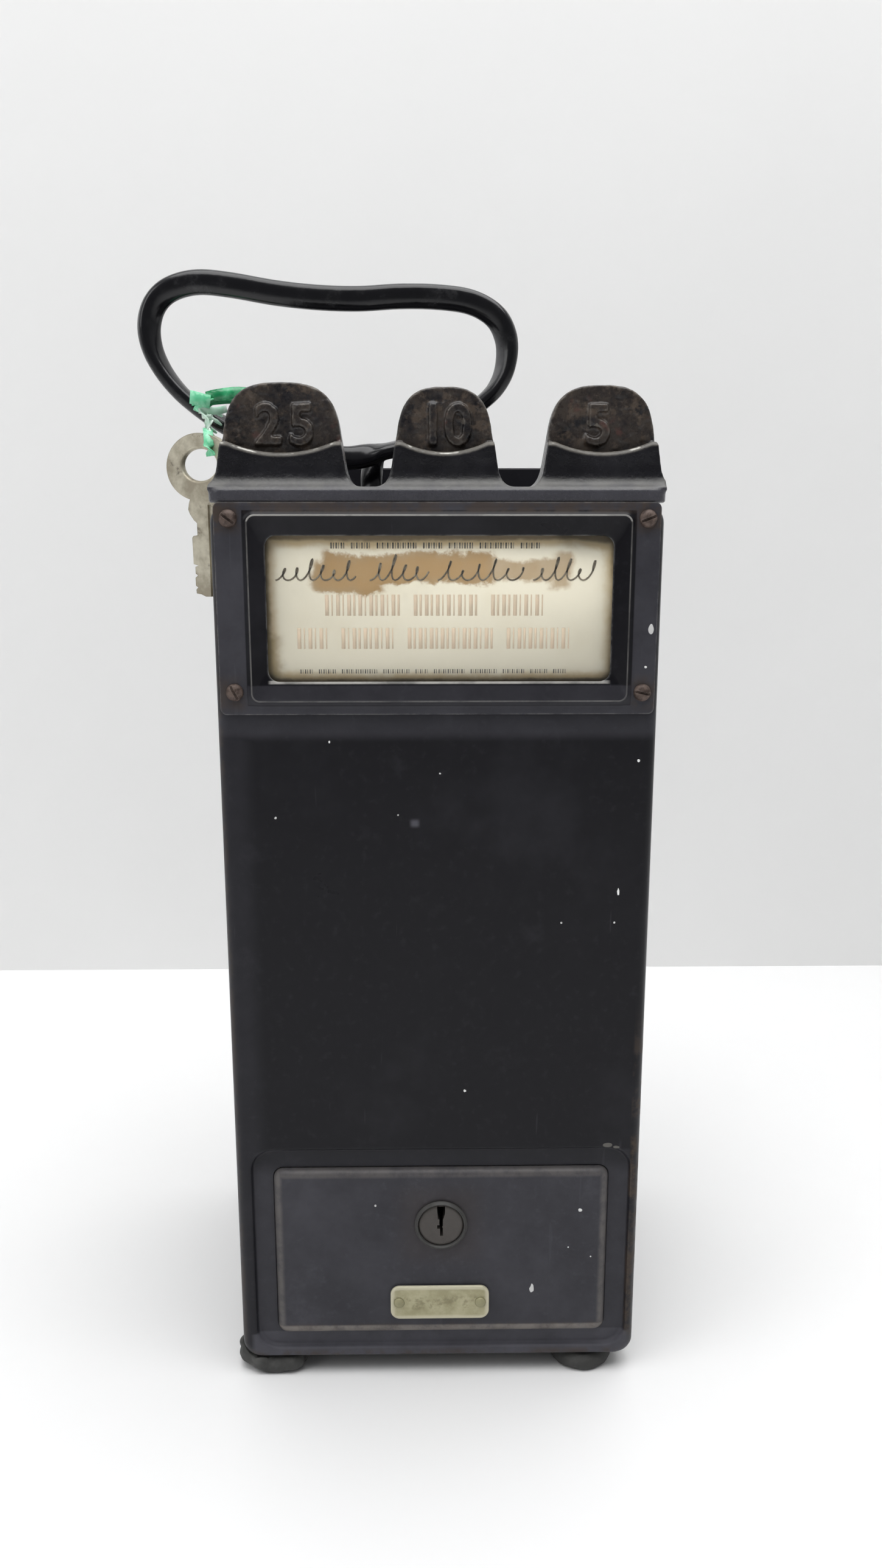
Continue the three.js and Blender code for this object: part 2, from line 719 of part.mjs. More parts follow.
function transmitterBracket() {
  const { x, z, radius, bracket, leg, flat } = TRANSMITTER;
  const y = MECH.y + MECH.thick + GAP;
  const high = 4; // half height of its legs
  const ring = slabXZ(circle(x, z, bracket), y + 5, y + 7, 12);
  const sides = [-1, 1].flatMap((side) => [
    sideBox(side, leg - 1, leg + 1, y, y + 6, z - high, z + high),
    sideBox(side, flat - 5, flat + 5, y, y + 1.2, z - high, z + high),
  ]);
  return join(ring.subtract(rodY(x, z, radius + 0.4, y, y + 12, 24)), ...sides);
}

function terminalBlock() {
  const { x0, x1, front, z0, z1, screws } = TERMINAL_BLOCK;
  const holes = screws.map((x) => rodY(x, (z0 + z1) / 2, 1.4, front - 4, front + 7, 12));
  return cut(box(x0, x1, front, BACK.front - GAP, z0, z1), ...holes);
}

// ---------- vault ----------

const plateRivetHole = (side, y0, y1) =>
  rodY(PLATE.x + side * PLATE.rivetX, PLATE.z, PLATE.rivetHole, y0, y1, 12);

function vaultDoor() {
  const { x, doorHalf, doorBottom, doorTop, doorFront, doorBack, doorCorner } = VAULT;
  const shape = growRect(x, doorHalf, doorBottom, doorTop, doorCorner, 0);
  const bore = rodY(LOCK.x, LOCK.z, LOCK.barrel + GAP, doorFront - 1, doorBack + 1, 24);
  const rivets = [-1, 1].map((side) => plateRivetHole(side, doorFront - 1, doorBack + 1));
  return cut(slabXZ(shape, doorFront, doorBack, 5, 0.7), bore, ...rivets);
}

function coinTray() {
  const { trayHalf, trayFloor, trayTop, trayFront, trayBack, doorBack, sheet } = VAULT;
  const front = doorBack + GAP;
  const inner = trayHalf - sheet;
  const floor = trayFloor + sheet;
  const outside = box(-trayHalf, trayHalf, front, trayBack, trayFloor, trayTop);
  const coins = box(-inner, inner, trayFront + sheet, trayBack - sheet, floor, trayTop + 1);
  const lockBay = box(-inner, inner, front - 1, trayFront, floor, trayTop + 1);
  return cut(outside, coins, lockBay);
}

function runner(side) {
  const { trayHalf, trayFloor, runnerEnd, sheet } = VAULT;
  const foot = CASE.bottom + CASE.wall + GAP;
  const rest = trayFloor - GAP;
  const near = trayHalf - 5;
  const way = trayHalf + 0.4;
  const far = way + sheet;
  return cut(
    sideBox(side, near, far, -runnerEnd, runnerEnd, foot, trayFloor + 5),
    sideBox(side, near - 1, way, -runnerEnd - 1, runnerEnd + 1, rest, trayFloor + 7),
    sideBox(side, near + sheet, far - sheet, -runnerEnd - 1, runnerEnd + 1, foot - 1, rest - sheet),
  );
}

function lockBarrel() {
  const { x, z, ring, barrel, bore, front, ringBack, barrelBack } = LOCK;
  const step = 0.5;
  return turnedY(
    [
      [bore, front + step], [bore + step, front], [ring - step, front], [ring, front + step],
      [ring, ringBack], [barrel, ringBack], [barrel, barrelBack], [bore, barrelBack], [bore, front + step],
    ],
    x, z, 24);
}

function lockNut() {
  const { x, z, barrel } = LOCK;
  const hex = new THREE.Shape();
  for (let i = 0; i < 6; i++) {
    const angle = (Math.PI / 3) * i;
    hex[i ? "lineTo" : "moveTo"](x + 9.4 * Math.cos(angle), z + 9.4 * Math.sin(angle));
  }
  hex.closePath();
  const y = VAULT.doorBack + GAP;
  return slabXZ(hex, y, y + 3.4).subtract(rodY(x, z, barrel + 0.25, y - 1, y + 5, 24));
}

function lockPlug() {
  const { x, z, plug, plugFront, plugBack } = LOCK;
  const [edge, depth] = [0.3, plugFront + 13];
  const body = turnedY(
    [[0, plugFront], [plug - edge, plugFront], [plug, plugFront + edge], [plug, plugBack], [0, plugBack]],
    x, z, 24);
  return cut(
    body,
    box(x - 1, x + 1, plugFront - 1, depth, z + 1.8, z + 5.2),
    box(x - 0.6, x + 0.6, plugFront - 1, depth, z - 3, z + 1.9),
    rodY(x, z, 1.3, plugBack - 6, plugBack + 1, 12),
  );
}

function lockCam() {
  const { x, z, plugBack, camBack, camReach } = LOCK;
  const [hub, tip] = [5.4, 3];
  const end = x - camReach + tip;
  const shape = new THREE.Shape();
  shape.absarc(x, z, hub, -Math.PI / 2, Math.PI / 2);
  shape.absarc(end, z + 1, tip, Math.PI / 2, Math.PI);
  shape.absarc(end, z - 1, tip, Math.PI, Math.PI * 1.5);
  shape.closePath();
  return slabXZ(shape, plugBack + GAP, camBack, 8).subtract(rodY(x, z, 1.5, plugBack, camBack + 1, 12));
}

// The angle that the cam catches behind when it points up.
function lockKeeper() {
  const { x, plugBack } = LOCK;
  const behind = plugBack;
  const bottom = VAULT.doorTop + 1.4;
  const top = 72;
  const wallBack = CASE.front + CASE.wall + GAP;
  const upright = box(x - 9, x + 9, behind - 1.8, behind - 0.4, bottom, top);
  const leg = box(x - 9, x + 9, wallBack, behind - 0.4, top - 1.4, top);
  const flat = box(x - 9, x + 9, wallBack, wallBack + 1.4, top - 1, top + 10);
  return join(upright, leg, flat);
}

function numberPlate() {
  const { x, z, half, halfHeight, thick, corner } = PLATE;
  const back = VAULT.doorFront - GAP;
  const shape = growRect(x, half, z - halfHeight, z + halfHeight, corner, 0);
  const rivets = [-1, 1].map((side) => plateRivetHole(side, back - 2, back + 1));
  return cut(slabXZ(shape, back - thick, back), ...rivets);
}

function plateRivet(side) {
  const { x, z, thick, rivet, rivetX } = PLATE;
  const shank = 0.6;
  const seat = VAULT.doorFront - GAP - thick;
  return turnedY(
    [
      [0, seat - 0.7], [rivet * 0.7, seat - 0.5], [rivet, seat - 0.1], [shank, seat - 0.1],
      [shank, VAULT.doorBack], [0, VAULT.doorBack],
    ],
    x + side * rivetX, z, 14);
}

// ---------- feet, cord, key ----------

function foot({ x, y, radius }) {
  const stemTop = FOOT_HEIGHT + 3.4;
  return turnedZ(
    [
      [0, 0], [radius - 1.6, 0], [radius - 0.5, 0.6], [radius, 1.8], [radius - 0.2, 3.4],
      [radius - 1, FOOT_HEIGHT], [FOOT_STEM, FOOT_HEIGHT], [FOOT_STEM, stemTop], [0, stemTop],
    ],
    x, y, 20);
}

const curveThrough = (points, closed, kind) =>
  new THREE.CatmullRomCurve3(points.map((p) => new THREE.Vector3(...p)), closed, kind);

const cord = () => bar(curveThrough(CORD_ROUTE, false, "centripetal"), CORD.radius, CORD.sides, CORD.steps);

function bushing() {
  const { x, y, halfX, halfY, neck, top, bottom, hole, holes } = BUSHING;
  const oval = (grow) =>
    roundedRect(x - halfX - grow, x + halfX + grow, y - halfY - grow, y + halfY + grow, halfY - 0.1 + grow);
  const rim = slabXY(oval(0), CASE.top + GAP, top, 6);
  const body = rim.add(slabXY(oval(-neck), bottom, top - 1, 6));
  return cut(body, ...holes.map((at) => rodZ(at, y, hole, bottom - 1, top + 1)));
}

const KEY_NECK = [
  [-3.4, 226.6], [-3.4, 223.6], [-3.9, 220.6], [-3, 218.6], [-1.3, 217.5], [-1.2, 199.3], [0.4, 197.9],
  [4.2, 198.3], [4.8, 199.9], [4.8, 217.5], [5.6, 218.6], [6.4, 220.6], [5.4, 223.6], [4.6, 226.6],
];
const KEY_BITS = [
  [-3, 213.6], [-2.9, 206.3], [-1.6, 206.3], [-1.6, 205.9], [-2.4, 205.9], [-2.4, 203.9], [-1.7, 203.5],
  [-2.5, 203], [-2.5, 200.7], [-1.8, 200.3], [-2.4, 199.8], [-2.3, 198.6], [0.4, 198], [2, 214],
];

function key() {
  const { thick, bow, bowZ, hole, holeZ } = KEY;
  const half = thick / 2;
  const head = slabXZ(ellipse(0, bowZ, ...bow), -half, half, 20);
  const neck = slabXZ(outline(KEY_NECK), -half, half);
  const bits = slabXZ(outline(KEY_BITS), -half * 0.8, half * 0.8);
  const opening = slabXZ(ellipse(0, holeZ, ...hole), -half - 1, half + 1, 16);
  return join(head, neck, bits).subtract(opening);
}

// The tie: a collar round the cord, and a loop from it through the key's bow.
function tie() {
  const { centre, slope, radius, bar: thick } = TIE;
  const [cx, cy, cz] = centre;
  const lean = THREE.MathUtils.degToRad(slope);
  const collar = [];
  for (let i = 0; i < 10; i++) {
    const angle = (2 * Math.PI * i) / 10;
    const across = radius * Math.cos(angle);
    const height = cz + across * Math.cos(lean);
    collar.push([cx + across * Math.sin(lean), cy + radius * Math.sin(angle), height]);
  }
  return join(...[collar, TIE_LOOP].map((points) => bar(curveThrough(points, true), thick, 6, 20)));
}

// ---------- assembly ----------

add("casing", casing(), BLACK);
add("back_plate", backPlate(), BLACK);
add("coin_head", coinHead(), WORN);
add("window_frame", windowFrame(), BLACK);
add("window_pane", pane(), finish(0xe8ecec, 0.12));
add("number_card", card(), finish(0xe0d8c0, 0.85));
add("card_backing", cardBacking(), STEEL);

const FRAME_SCREW = { head: 2, height: 1.3, shank: 1, length: 3.6, slot: 0.6 };
FRAME_SCREWS.forEach(({ x, z, turn }, i) => {
  const seat = WINDOW.plateBack - WINDOW.plate - 0.05;
  addScrew(`frame_screw_${i + 1}`, FRAME_SCREW, RUSTY, [x, seat, z], [0, slotTurn(turn), 0]);
});
const HEAD_SCREW = { head: 3, height: 1.6, shank: 1, length: 6.6, slot: 0.8 };
HEAD_SCREWS.forEach((x, i) => {
  const seat = [x, HEAD_SCREW_Y, HEAD.top + 0.1];
  addScrew(`head_screw_${i + 1}`, HEAD_SCREW, RUSTY, seat, [-Math.PI / 2, 0, 0]);
});
const SIDE_SCREW = { head: 2.8, height: 1.4, shank: 1.4, length: 4.6, slot: 0.8 };
SIDE_SCREWS.forEach(({ z, side }, i) => {
  const seat = [side * (CASE.half + 0.1), SIDE_SCREW_Y, z];
  addScrew(`side_screw_${i + 1}`, SIDE_SCREW, RUSTY, seat, [0, 0, side * Math.PI / 2]);
});

for (const gauge of GAUGES) add(`coin_chute_${gauge.coin}`, chute(gauge), STEEL);
add("coin_hopper", funnel(0, 0).subtract(funnel(-HOPPER.wall, 1)), STEEL);

add("mech_plate", mechPlate(), STEEL);
add("bell_gong", bellGong(), BRASS);
add("gong_post", gongPost(), STEEL);
const GONG_SCREW = { head: 4, height: 1.8, shank: 1.2, length: 8, slot: 0.9 };
addScrew("gong_screw", GONG_SCREW, BRASS, [GONG.x, GONG.back - GONG.depth - 0.1, GONG.z], [0, 0.5, 0]);
add("cathedral_gong", cathedralGong(), STEEL);
add("cathedral_post", cathedralPost(), STEEL);
add("striker_pin", strikerPin(), STEEL);
add("striker_lever", strikerLever(), BRASS);
add("transmitter", transmitter(), BLACK);
add("transmitter_bracket", transmitterBracket(), STEEL);
add("terminal_block", terminalBlock(), RUBBER);
const TERMINAL_SCREW = { head: 2.6, height: 1.3, shank: 1.1, length: 6, slot: 0.7 };
TERMINAL_BLOCK.screws.forEach((x, i) => {
  const seat = [x, TERMINAL_BLOCK.front - 0.1, (TERMINAL_BLOCK.z0 + TERMINAL_BLOCK.z1) / 2];
  addScrew(`terminal_screw_${i + 1}`, TERMINAL_SCREW, BRASS, seat, [0, slotTurn(30 + 50 * i), 0]);
});

add("vault_door", vaultDoor(), BLACK);
add("coin_tray", coinTray(), STEEL);
add("runner_left", runner(-1), STEEL);
add("runner_right", runner(1), STEEL);
add("lock_barrel", lockBarrel(), STEEL);
add("lock_nut", lockNut(), STEEL);
add("lock_plug", lockPlug(), BRASS);
add("lock_cam", lockCam(), STEEL);
const CAM_SCREW = { head: 3, height: 1.4, shank: 1, length: 6, slot: 0.8 };
addScrew("cam_screw", CAM_SCREW, STEEL, [LOCK.x, LOCK.camBack + 0.1, LOCK.z], [Math.PI, 0, 0]);
add("lock_keeper", lockKeeper(), STEEL);
add("number_plate", numberPlate(), BRASS);
add("plate_rivet_left", plateRivet(-1), BRASS);
add("plate_rivet_right", plateRivet(1), BRASS);

for (const each of FEET) add(each.name, foot(each), RUBBER);

add("cord_bushing", bushing(), RUBBER);
add("cord", cord(), finish(0x15161a, 0.3));
add("key_tie", tie(), finish(0x5fcf93, 0.4));
const keyMesh = add("key", key(), STEEL);
keyMesh.position.set(KEY.x, KEY.y, 0);
keyMesh.rotation.set(0, 0, THREE.MathUtils.degToRad(KEY.yaw));

export default part;
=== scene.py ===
"""Looks of a three-slot coin collector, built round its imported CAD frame.

The front faces -Y and +Z is up. Blender objects are in metres; shapes below are in millimetres.
"""

import json
import math
import random

import bmesh
import bpy
from mathutils import Matrix, Vector, noise


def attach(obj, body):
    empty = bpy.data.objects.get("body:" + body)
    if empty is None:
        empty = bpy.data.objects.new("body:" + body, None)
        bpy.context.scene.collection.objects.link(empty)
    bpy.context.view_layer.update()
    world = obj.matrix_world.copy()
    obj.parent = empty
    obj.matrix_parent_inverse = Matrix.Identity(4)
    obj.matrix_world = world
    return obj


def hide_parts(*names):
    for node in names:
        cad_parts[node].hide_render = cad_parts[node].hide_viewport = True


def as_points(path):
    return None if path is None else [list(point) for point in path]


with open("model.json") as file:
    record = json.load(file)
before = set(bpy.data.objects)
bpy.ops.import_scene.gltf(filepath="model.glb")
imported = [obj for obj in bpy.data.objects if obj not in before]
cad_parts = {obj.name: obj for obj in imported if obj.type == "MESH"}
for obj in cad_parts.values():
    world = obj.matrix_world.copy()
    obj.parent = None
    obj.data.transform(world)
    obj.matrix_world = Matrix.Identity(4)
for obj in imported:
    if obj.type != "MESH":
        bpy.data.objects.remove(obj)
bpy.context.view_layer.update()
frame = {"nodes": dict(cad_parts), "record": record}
MM = 0.001
SCENE = bpy.context.scene

# ---------- driving dimensions, in millimetres ----------

IMAGE = (1449, 2576)
CAMERA = {"at": (-3.3, -311.9, 217.6), "turn": -0.863, "down": 12.54, "focal_pixels": 1936}
WALL_Y = 243

CASE = {
    "half": 50.8, "front": -44.5, "back": 45, "bottom": 5, "top": 221.4, "wall": 1.5, "edge": 3, "corner": 4,
}
BACK = {"front": 45.3, "back": 46.9, "top": 233, "corner": 6}
HEAD = {
    "bottom": 221.7, "top": 225.2, "front": -45, "back": 6, "lip_front": -42, "slot_front": -40.4,
    "slot_back": -38, "ear_back": -34.6, "root_back": -29, "lip_top": 235, "shoulder": 1.1, "waist": 236.8,
    "fillet": 3.4, "plinth": 4.4,
}
HEAD_SCREWS = (-30, 32)
# "mark" is the middle of a gauge's number and "spread" the space between its figures.
GAUGES = [
    {"coin": "25", "x": -34.7, "half": 12.9, "top": 247.8, "slot": 25.2, "sag": 2.4, "mark": -33.9,
     "spread": 1.22},
    {"coin": "10", "x": 1.6, "half": 10.5, "top": 246.9, "slot": 18.8, "sag": 2.2, "mark": 1.8,
     "spread": 0.92},
    {"coin": "5", "x": 36.7, "half": 11.7, "top": 247.3, "slot": 22.1, "sag": 2.2, "mark": 35.9,
     "spread": 1},
]
WINDOW = {
    "x": 0.4, "plate_half": 49.5, "plate_top": 221.9, "plate_bottom": 174.6, "plate_back": -44.8,
    "plate": 0.8, "ring_half": 42.7, "ring_top": 219.2, "ring_bottom": 177.6, "crest": -46.5,
    "open_half": 38.8, "open_top": 214.6, "open_bottom": 182.1, "cut_half": 40.5, "cut_top": 216.4,
    "cut_bottom": 180.5,
}
VAULT = {
    "x": 0.8, "half": 42.1, "bottom": 12.7, "top": 59, "front": -45.1, "back": -42.5, "corner": 2.4,
    "channel": 5.4, "channel_foot": 4.4, "recess": 1.5, "gap": 0.06,
}
LOCK = {"x": 0.7, "z": 44.2, "ring": 6.7, "bore": 5.75, "plug": 5.68, "front": -46.3, "plug_front": -45.7}
PLATE = {"x": 0.4, "z": 22.3, "half": 12.6, "half_height": 4.65, "thick": 0.7, "corner": 2.3, "rivet_x": 10.4}

CORD_WIDE = 6.3
CORD_THIN = 4.2
# The cord's route, point by point as in the CAD.
CORD_ROUTE = [
    (-17.3, 21, 218.5), (-17.3, 21, 224), (-17.3, 22.2, 228.4), (-17, 24, 232.2), (-15.6, 24.8, 235.2),
    (-12.9, 24.8, 236.7), (-7.6, 23.8, 238), (-1.6, 22.6, 240.4), (4, 21.3, 243.2), (8.4, 20.3, 245.8),
    (12.8, 20, 249), (16.4, 20, 252.6), (18.7, 20, 257.4), (19.3, 20, 263.6), (17.6, 20, 268.8),
    (14.2, 20, 272.2), (8.5, 20, 274.6), (0, 20, 275.6), (-9.5, 20, 275.7), (-20.2, 20, 275.1),
    (-31, 20, 275.4), (-42, 20, 276.5), (-53, 20, 278.3), (-61, 20, 279.1), (-66.8, 20, 278.3),
    (-71.4, 20, 276.1), (-74.4, 20, 272.4), (-75.6, 20, 267.4), (-74.8, 20, 262), (-72.2, 20, 256.6),
    (-68.4, 20, 251.7), (-64.4, 20, 248.1), (-60, 19.8, 245), (-55, 19.4, 242.3), (-48, 18.7, 239.6),
    (-40, 18, 237.2), (-32, 17.4, 235.2), (-24.2, 17, 234.3), (-18.8, 17, 234.9), (-14.7, 17, 235.8),
    (-10.7, 17, 236.6), (-5.5, 17, 237.6), (-0.8, 17.2, 237.3), (2.5, 17.8, 235), (3.8, 19.2, 231),
    (3.9, 21, 225.5), (3.9, 21, 218.5),
]
# Degrees that the flat cord's broad side is turned from facing the front, at points of the route.
CORD_TWIST = [(0, 8), (2, 20), (4.5, 84), (9, 88), (16, 4), (23, 0), (31, 84), (34, 60), (36.6, 6),
              (37.6, 16), (39.6, 78), (42, 86), (46, 90)]
BUSHING = {
    "x": -6.7, "y": 21, "half_x": 16.2, "half_y": 5.6, "neck": 1.2, "top": 223.6, "bottom": 219.2,
    "hole": 3.4, "holes": (-17.3, 3.9), "way_half_x": 15.2, "way_half_y": 4.6,
}
KEY = {
    "x": -61.9, "y": 11.6, "yaw": -24, "thick": 2.4, "bow": (10.2, 8.7), "bow_z": 231.7,
    "hole": (5.4, 4.1), "hole_z": 232.3,
}


# ---------- meshes ----------

def link(name, mesh):
    piece = bpy.data.objects.new(name, mesh)
    SCENE.collection.objects.link(piece)
    return piece


def mesh_piece(name, points, faces):
    mesh = bpy.data.meshes.new(name)
    mesh.from_pydata([Vector(p) * MM for p in points], [], faces)
    work = bmesh.new()
    work.from_mesh(mesh)
    bmesh.ops.recalc_face_normals(work, faces=work.faces)
    for face in work.faces:
        face.smooth = True
    work.to_mesh(mesh)
    work.free()
    return link(name, mesh)


def loft(name, rings, closed=False):
    """Quads between rings that have the same number of points, with flat ends or joined round."""
    count = len(rings[0])
    points = [p for ring in rings for p in ring]
    faces = []
    spans = len(rings) if closed else len(rings) - 1
    for k in range(spans):
        low, high = k * count, (k + 1) % len(rings) * count
        for i in range(count):
            j = (i + 1) % count
            faces.append((low + i, low + j, high + j, high + i))
    if not closed:
        faces.append(tuple(range(count)))
        faces.append(tuple(range(len(points) - count, len(points))))
    return mesh_piece(name, points, faces)


def rounded_rect(x0, x1, z0, z1, radius, steps=8):
    corners = [(x1 - radius, z1 - radius, 0), (x0 + radius, z1 - radius, 90),
               (x0 + radius, z0 + radius, 180), (x1 - radius, z0 + radius, 270)]
    out = []
    for cx, cz, start in corners:
        for i in range(steps + 1):
            angle = math.radians(start + 90 * i / steps)
            out.append((cx + radius * math.cos(angle), cz + radius * math.sin(angle)))
    return out


def oval(x, z, half_x, half_z, count):
    turns = [2 * math.pi * i / count for i in range(count)]
    return [(x + half_x * math.cos(a), z + half_z * math.sin(a)) for a in turns]


def circle(x, z, radius, count=48):
    return oval(x, z, radius, radius, count)


def at_y(outline, y):
    return [(x, y, z) for x, z in outline]


def at_z(outline, z):
    return [(x, y, z) for x, y in outline]


def at_x(outline, x):
    return [(x, y, z) for y, z in outline]


def about(x, half, z0, z1):
    """A frame (x0, x1, z0, z1) that is centred on x."""
    return x - half, x + half, z0, z1


def drawn_in(frame_at, inset, radius, steps=8):
    """A rounded rectangle on a frame, drawn in by inset."""
    x0, x1, z0, z1 = frame_at
    return rounded_rect(x0 + inset, x1 - inset, z0 + inset, z1 - inset, radius, steps)


def turned(name, profile, x, z, count=48):
    """A profile of (radius, y) points turned about an axis along Y through x and z."""
    return loft(name, [at_y(circle(x, z, radius, count), y) for radius, y in profile])


def turned_up(name, profile, x, y, count=40):
    """A profile of (radius, z) points turned about an upright axis."""
    return loft(name, [at_z(circle(x, y, radius, count), z) for radius, z in profile])


def prism(name, outline, y0, y1):
    return loft(name, [at_y(outline, y0), at_y(outline, y1)])


def box(name, x0, x1, y0, y1, z0, z1):
    return prism(name, [(x0, z0), (x1, z0), (x1, z1), (x0, z1)], y0, y1)


def finished_mesh(piece):
    """The piece's mesh with its modifiers applied."""
    bpy.context.view_layer.update()
    return bpy.data.meshes.new_from_object(piece.evaluated_get(bpy.context.evaluated_depsgraph_get()))


def keep_shape(piece):
    made = finished_mesh(piece)
    piece.modifiers.clear()
    piece.data = made
    return piece


def combine(piece, tools, how):
    for tool in tools:
        change = piece.modifiers.new("combine", "BOOLEAN")
        change.operation = how
        change.solver = "EXACT"
        change.object = tool
        keep_shape(piece)
        bpy.data.objects.remove(tool)
    return piece


def cut(piece, *tools):
    return combine(piece, tools, "DIFFERENCE")


def unite(piece, *tools):
    return combine(piece, tools, "UNION")


def gather(name, pieces):
    """Joins pieces into one object with no cut or weld."""
    work = bmesh.new()
    for piece in pieces:
        work.from_mesh(piece.data)
        bpy.data.objects.remove(piece)
    mesh = bpy.data.meshes.new(name)
    work.to_mesh(mesh)
    work.free()
    return link(name, mesh)


def soften(piece, width, segments=3, angle=32):
    """Rounds the edges sharper than angle and shades the flats flat."""
    bevel = piece.modifiers.new("edges", "BEVEL")
    bevel.width = width * MM
    bevel.segments = segments
    bevel.limit_method = "ANGLE"
    bevel.angle_limit = math.radians(angle)
    bevel.use_clamp_overlap = True
    piece.data.polygons.foreach_set("use_smooth", [True] * len(piece.data.polygons))
    weighted = piece.modifiers.new("normals", "WEIGHTED_NORMAL")
    weighted.keep_sharp = True
    return piece


def remeshed(piece, voxel, rounds, strength=0.5):
    """One even skin over the piece, its edges worn soft like a casting's."""
    skin = piece.modifiers.new("skin", "REMESH")
    skin.mode = "VOXEL"
    skin.voxel_size = voxel * MM
    skin.use_smooth_shade = True
    calm = piece.modifiers.new("calm", "SMOOTH")
    calm.factor = strength
    calm.iterations = rounds
    return keep_shape(piece)


def bezier(p0, p1, p2, p3, steps):
    out = []
    for i in range(steps + 1):
        t = i / steps
        a, b, c, d = (1 - t) ** 3, 3 * t * (1 - t) ** 2, 3 * t * t * (1 - t), t ** 3
        out.append(tuple(a * p0[k] + b * p1[k] + c * p2[k] + d * p3[k] for k in range(2)))
    return out


def arc(p0, mid, p1, steps=8):
    """A curve that leaves p0 towards mid and comes to p1 from it."""
    first = tuple(p0[k] + (mid[k] - p0[k]) * 2 / 3 for k in range(2))
    second = tuple(p1[k] + (mid[k] - p1[k]) * 2 / 3 for k in range(2))
    return bezier(p0, first, second, p1, steps)


def smooth_path(points, per):
    """A Catmull-Rom curve through the points, with per steps between neighbours."""
    at = [Vector(p) for p in points]
    out = []
    for i in range(len(at) - 1):
        a, b = at[max(i - 1, 0)], at[i]
        c, d = at[i + 1], at[min(i + 2, len(at) - 1)]
        for k in range(per):
            t = k / per
            out.append(0.5 * (2 * b + (c - a) * t + (2 * a - 5 * b + 4 * c - d) * t ** 2
                              + (3 * b - a - 3 * c + d) * t ** 3))
    out.append(at[-1])
    return out


def directions(line):
    last = len(line) - 1
    return [(line[min(i + 1, last)] - line[max(i - 1, 0)]).normalized() for i in range(len(line))]


# ---------- materials ----------

def set_range(node, *numbers):
    for socket, number in zip(("From Min", "From Max", "To Min", "To Max"), numbers):
        node.inputs[socket].default_value = number


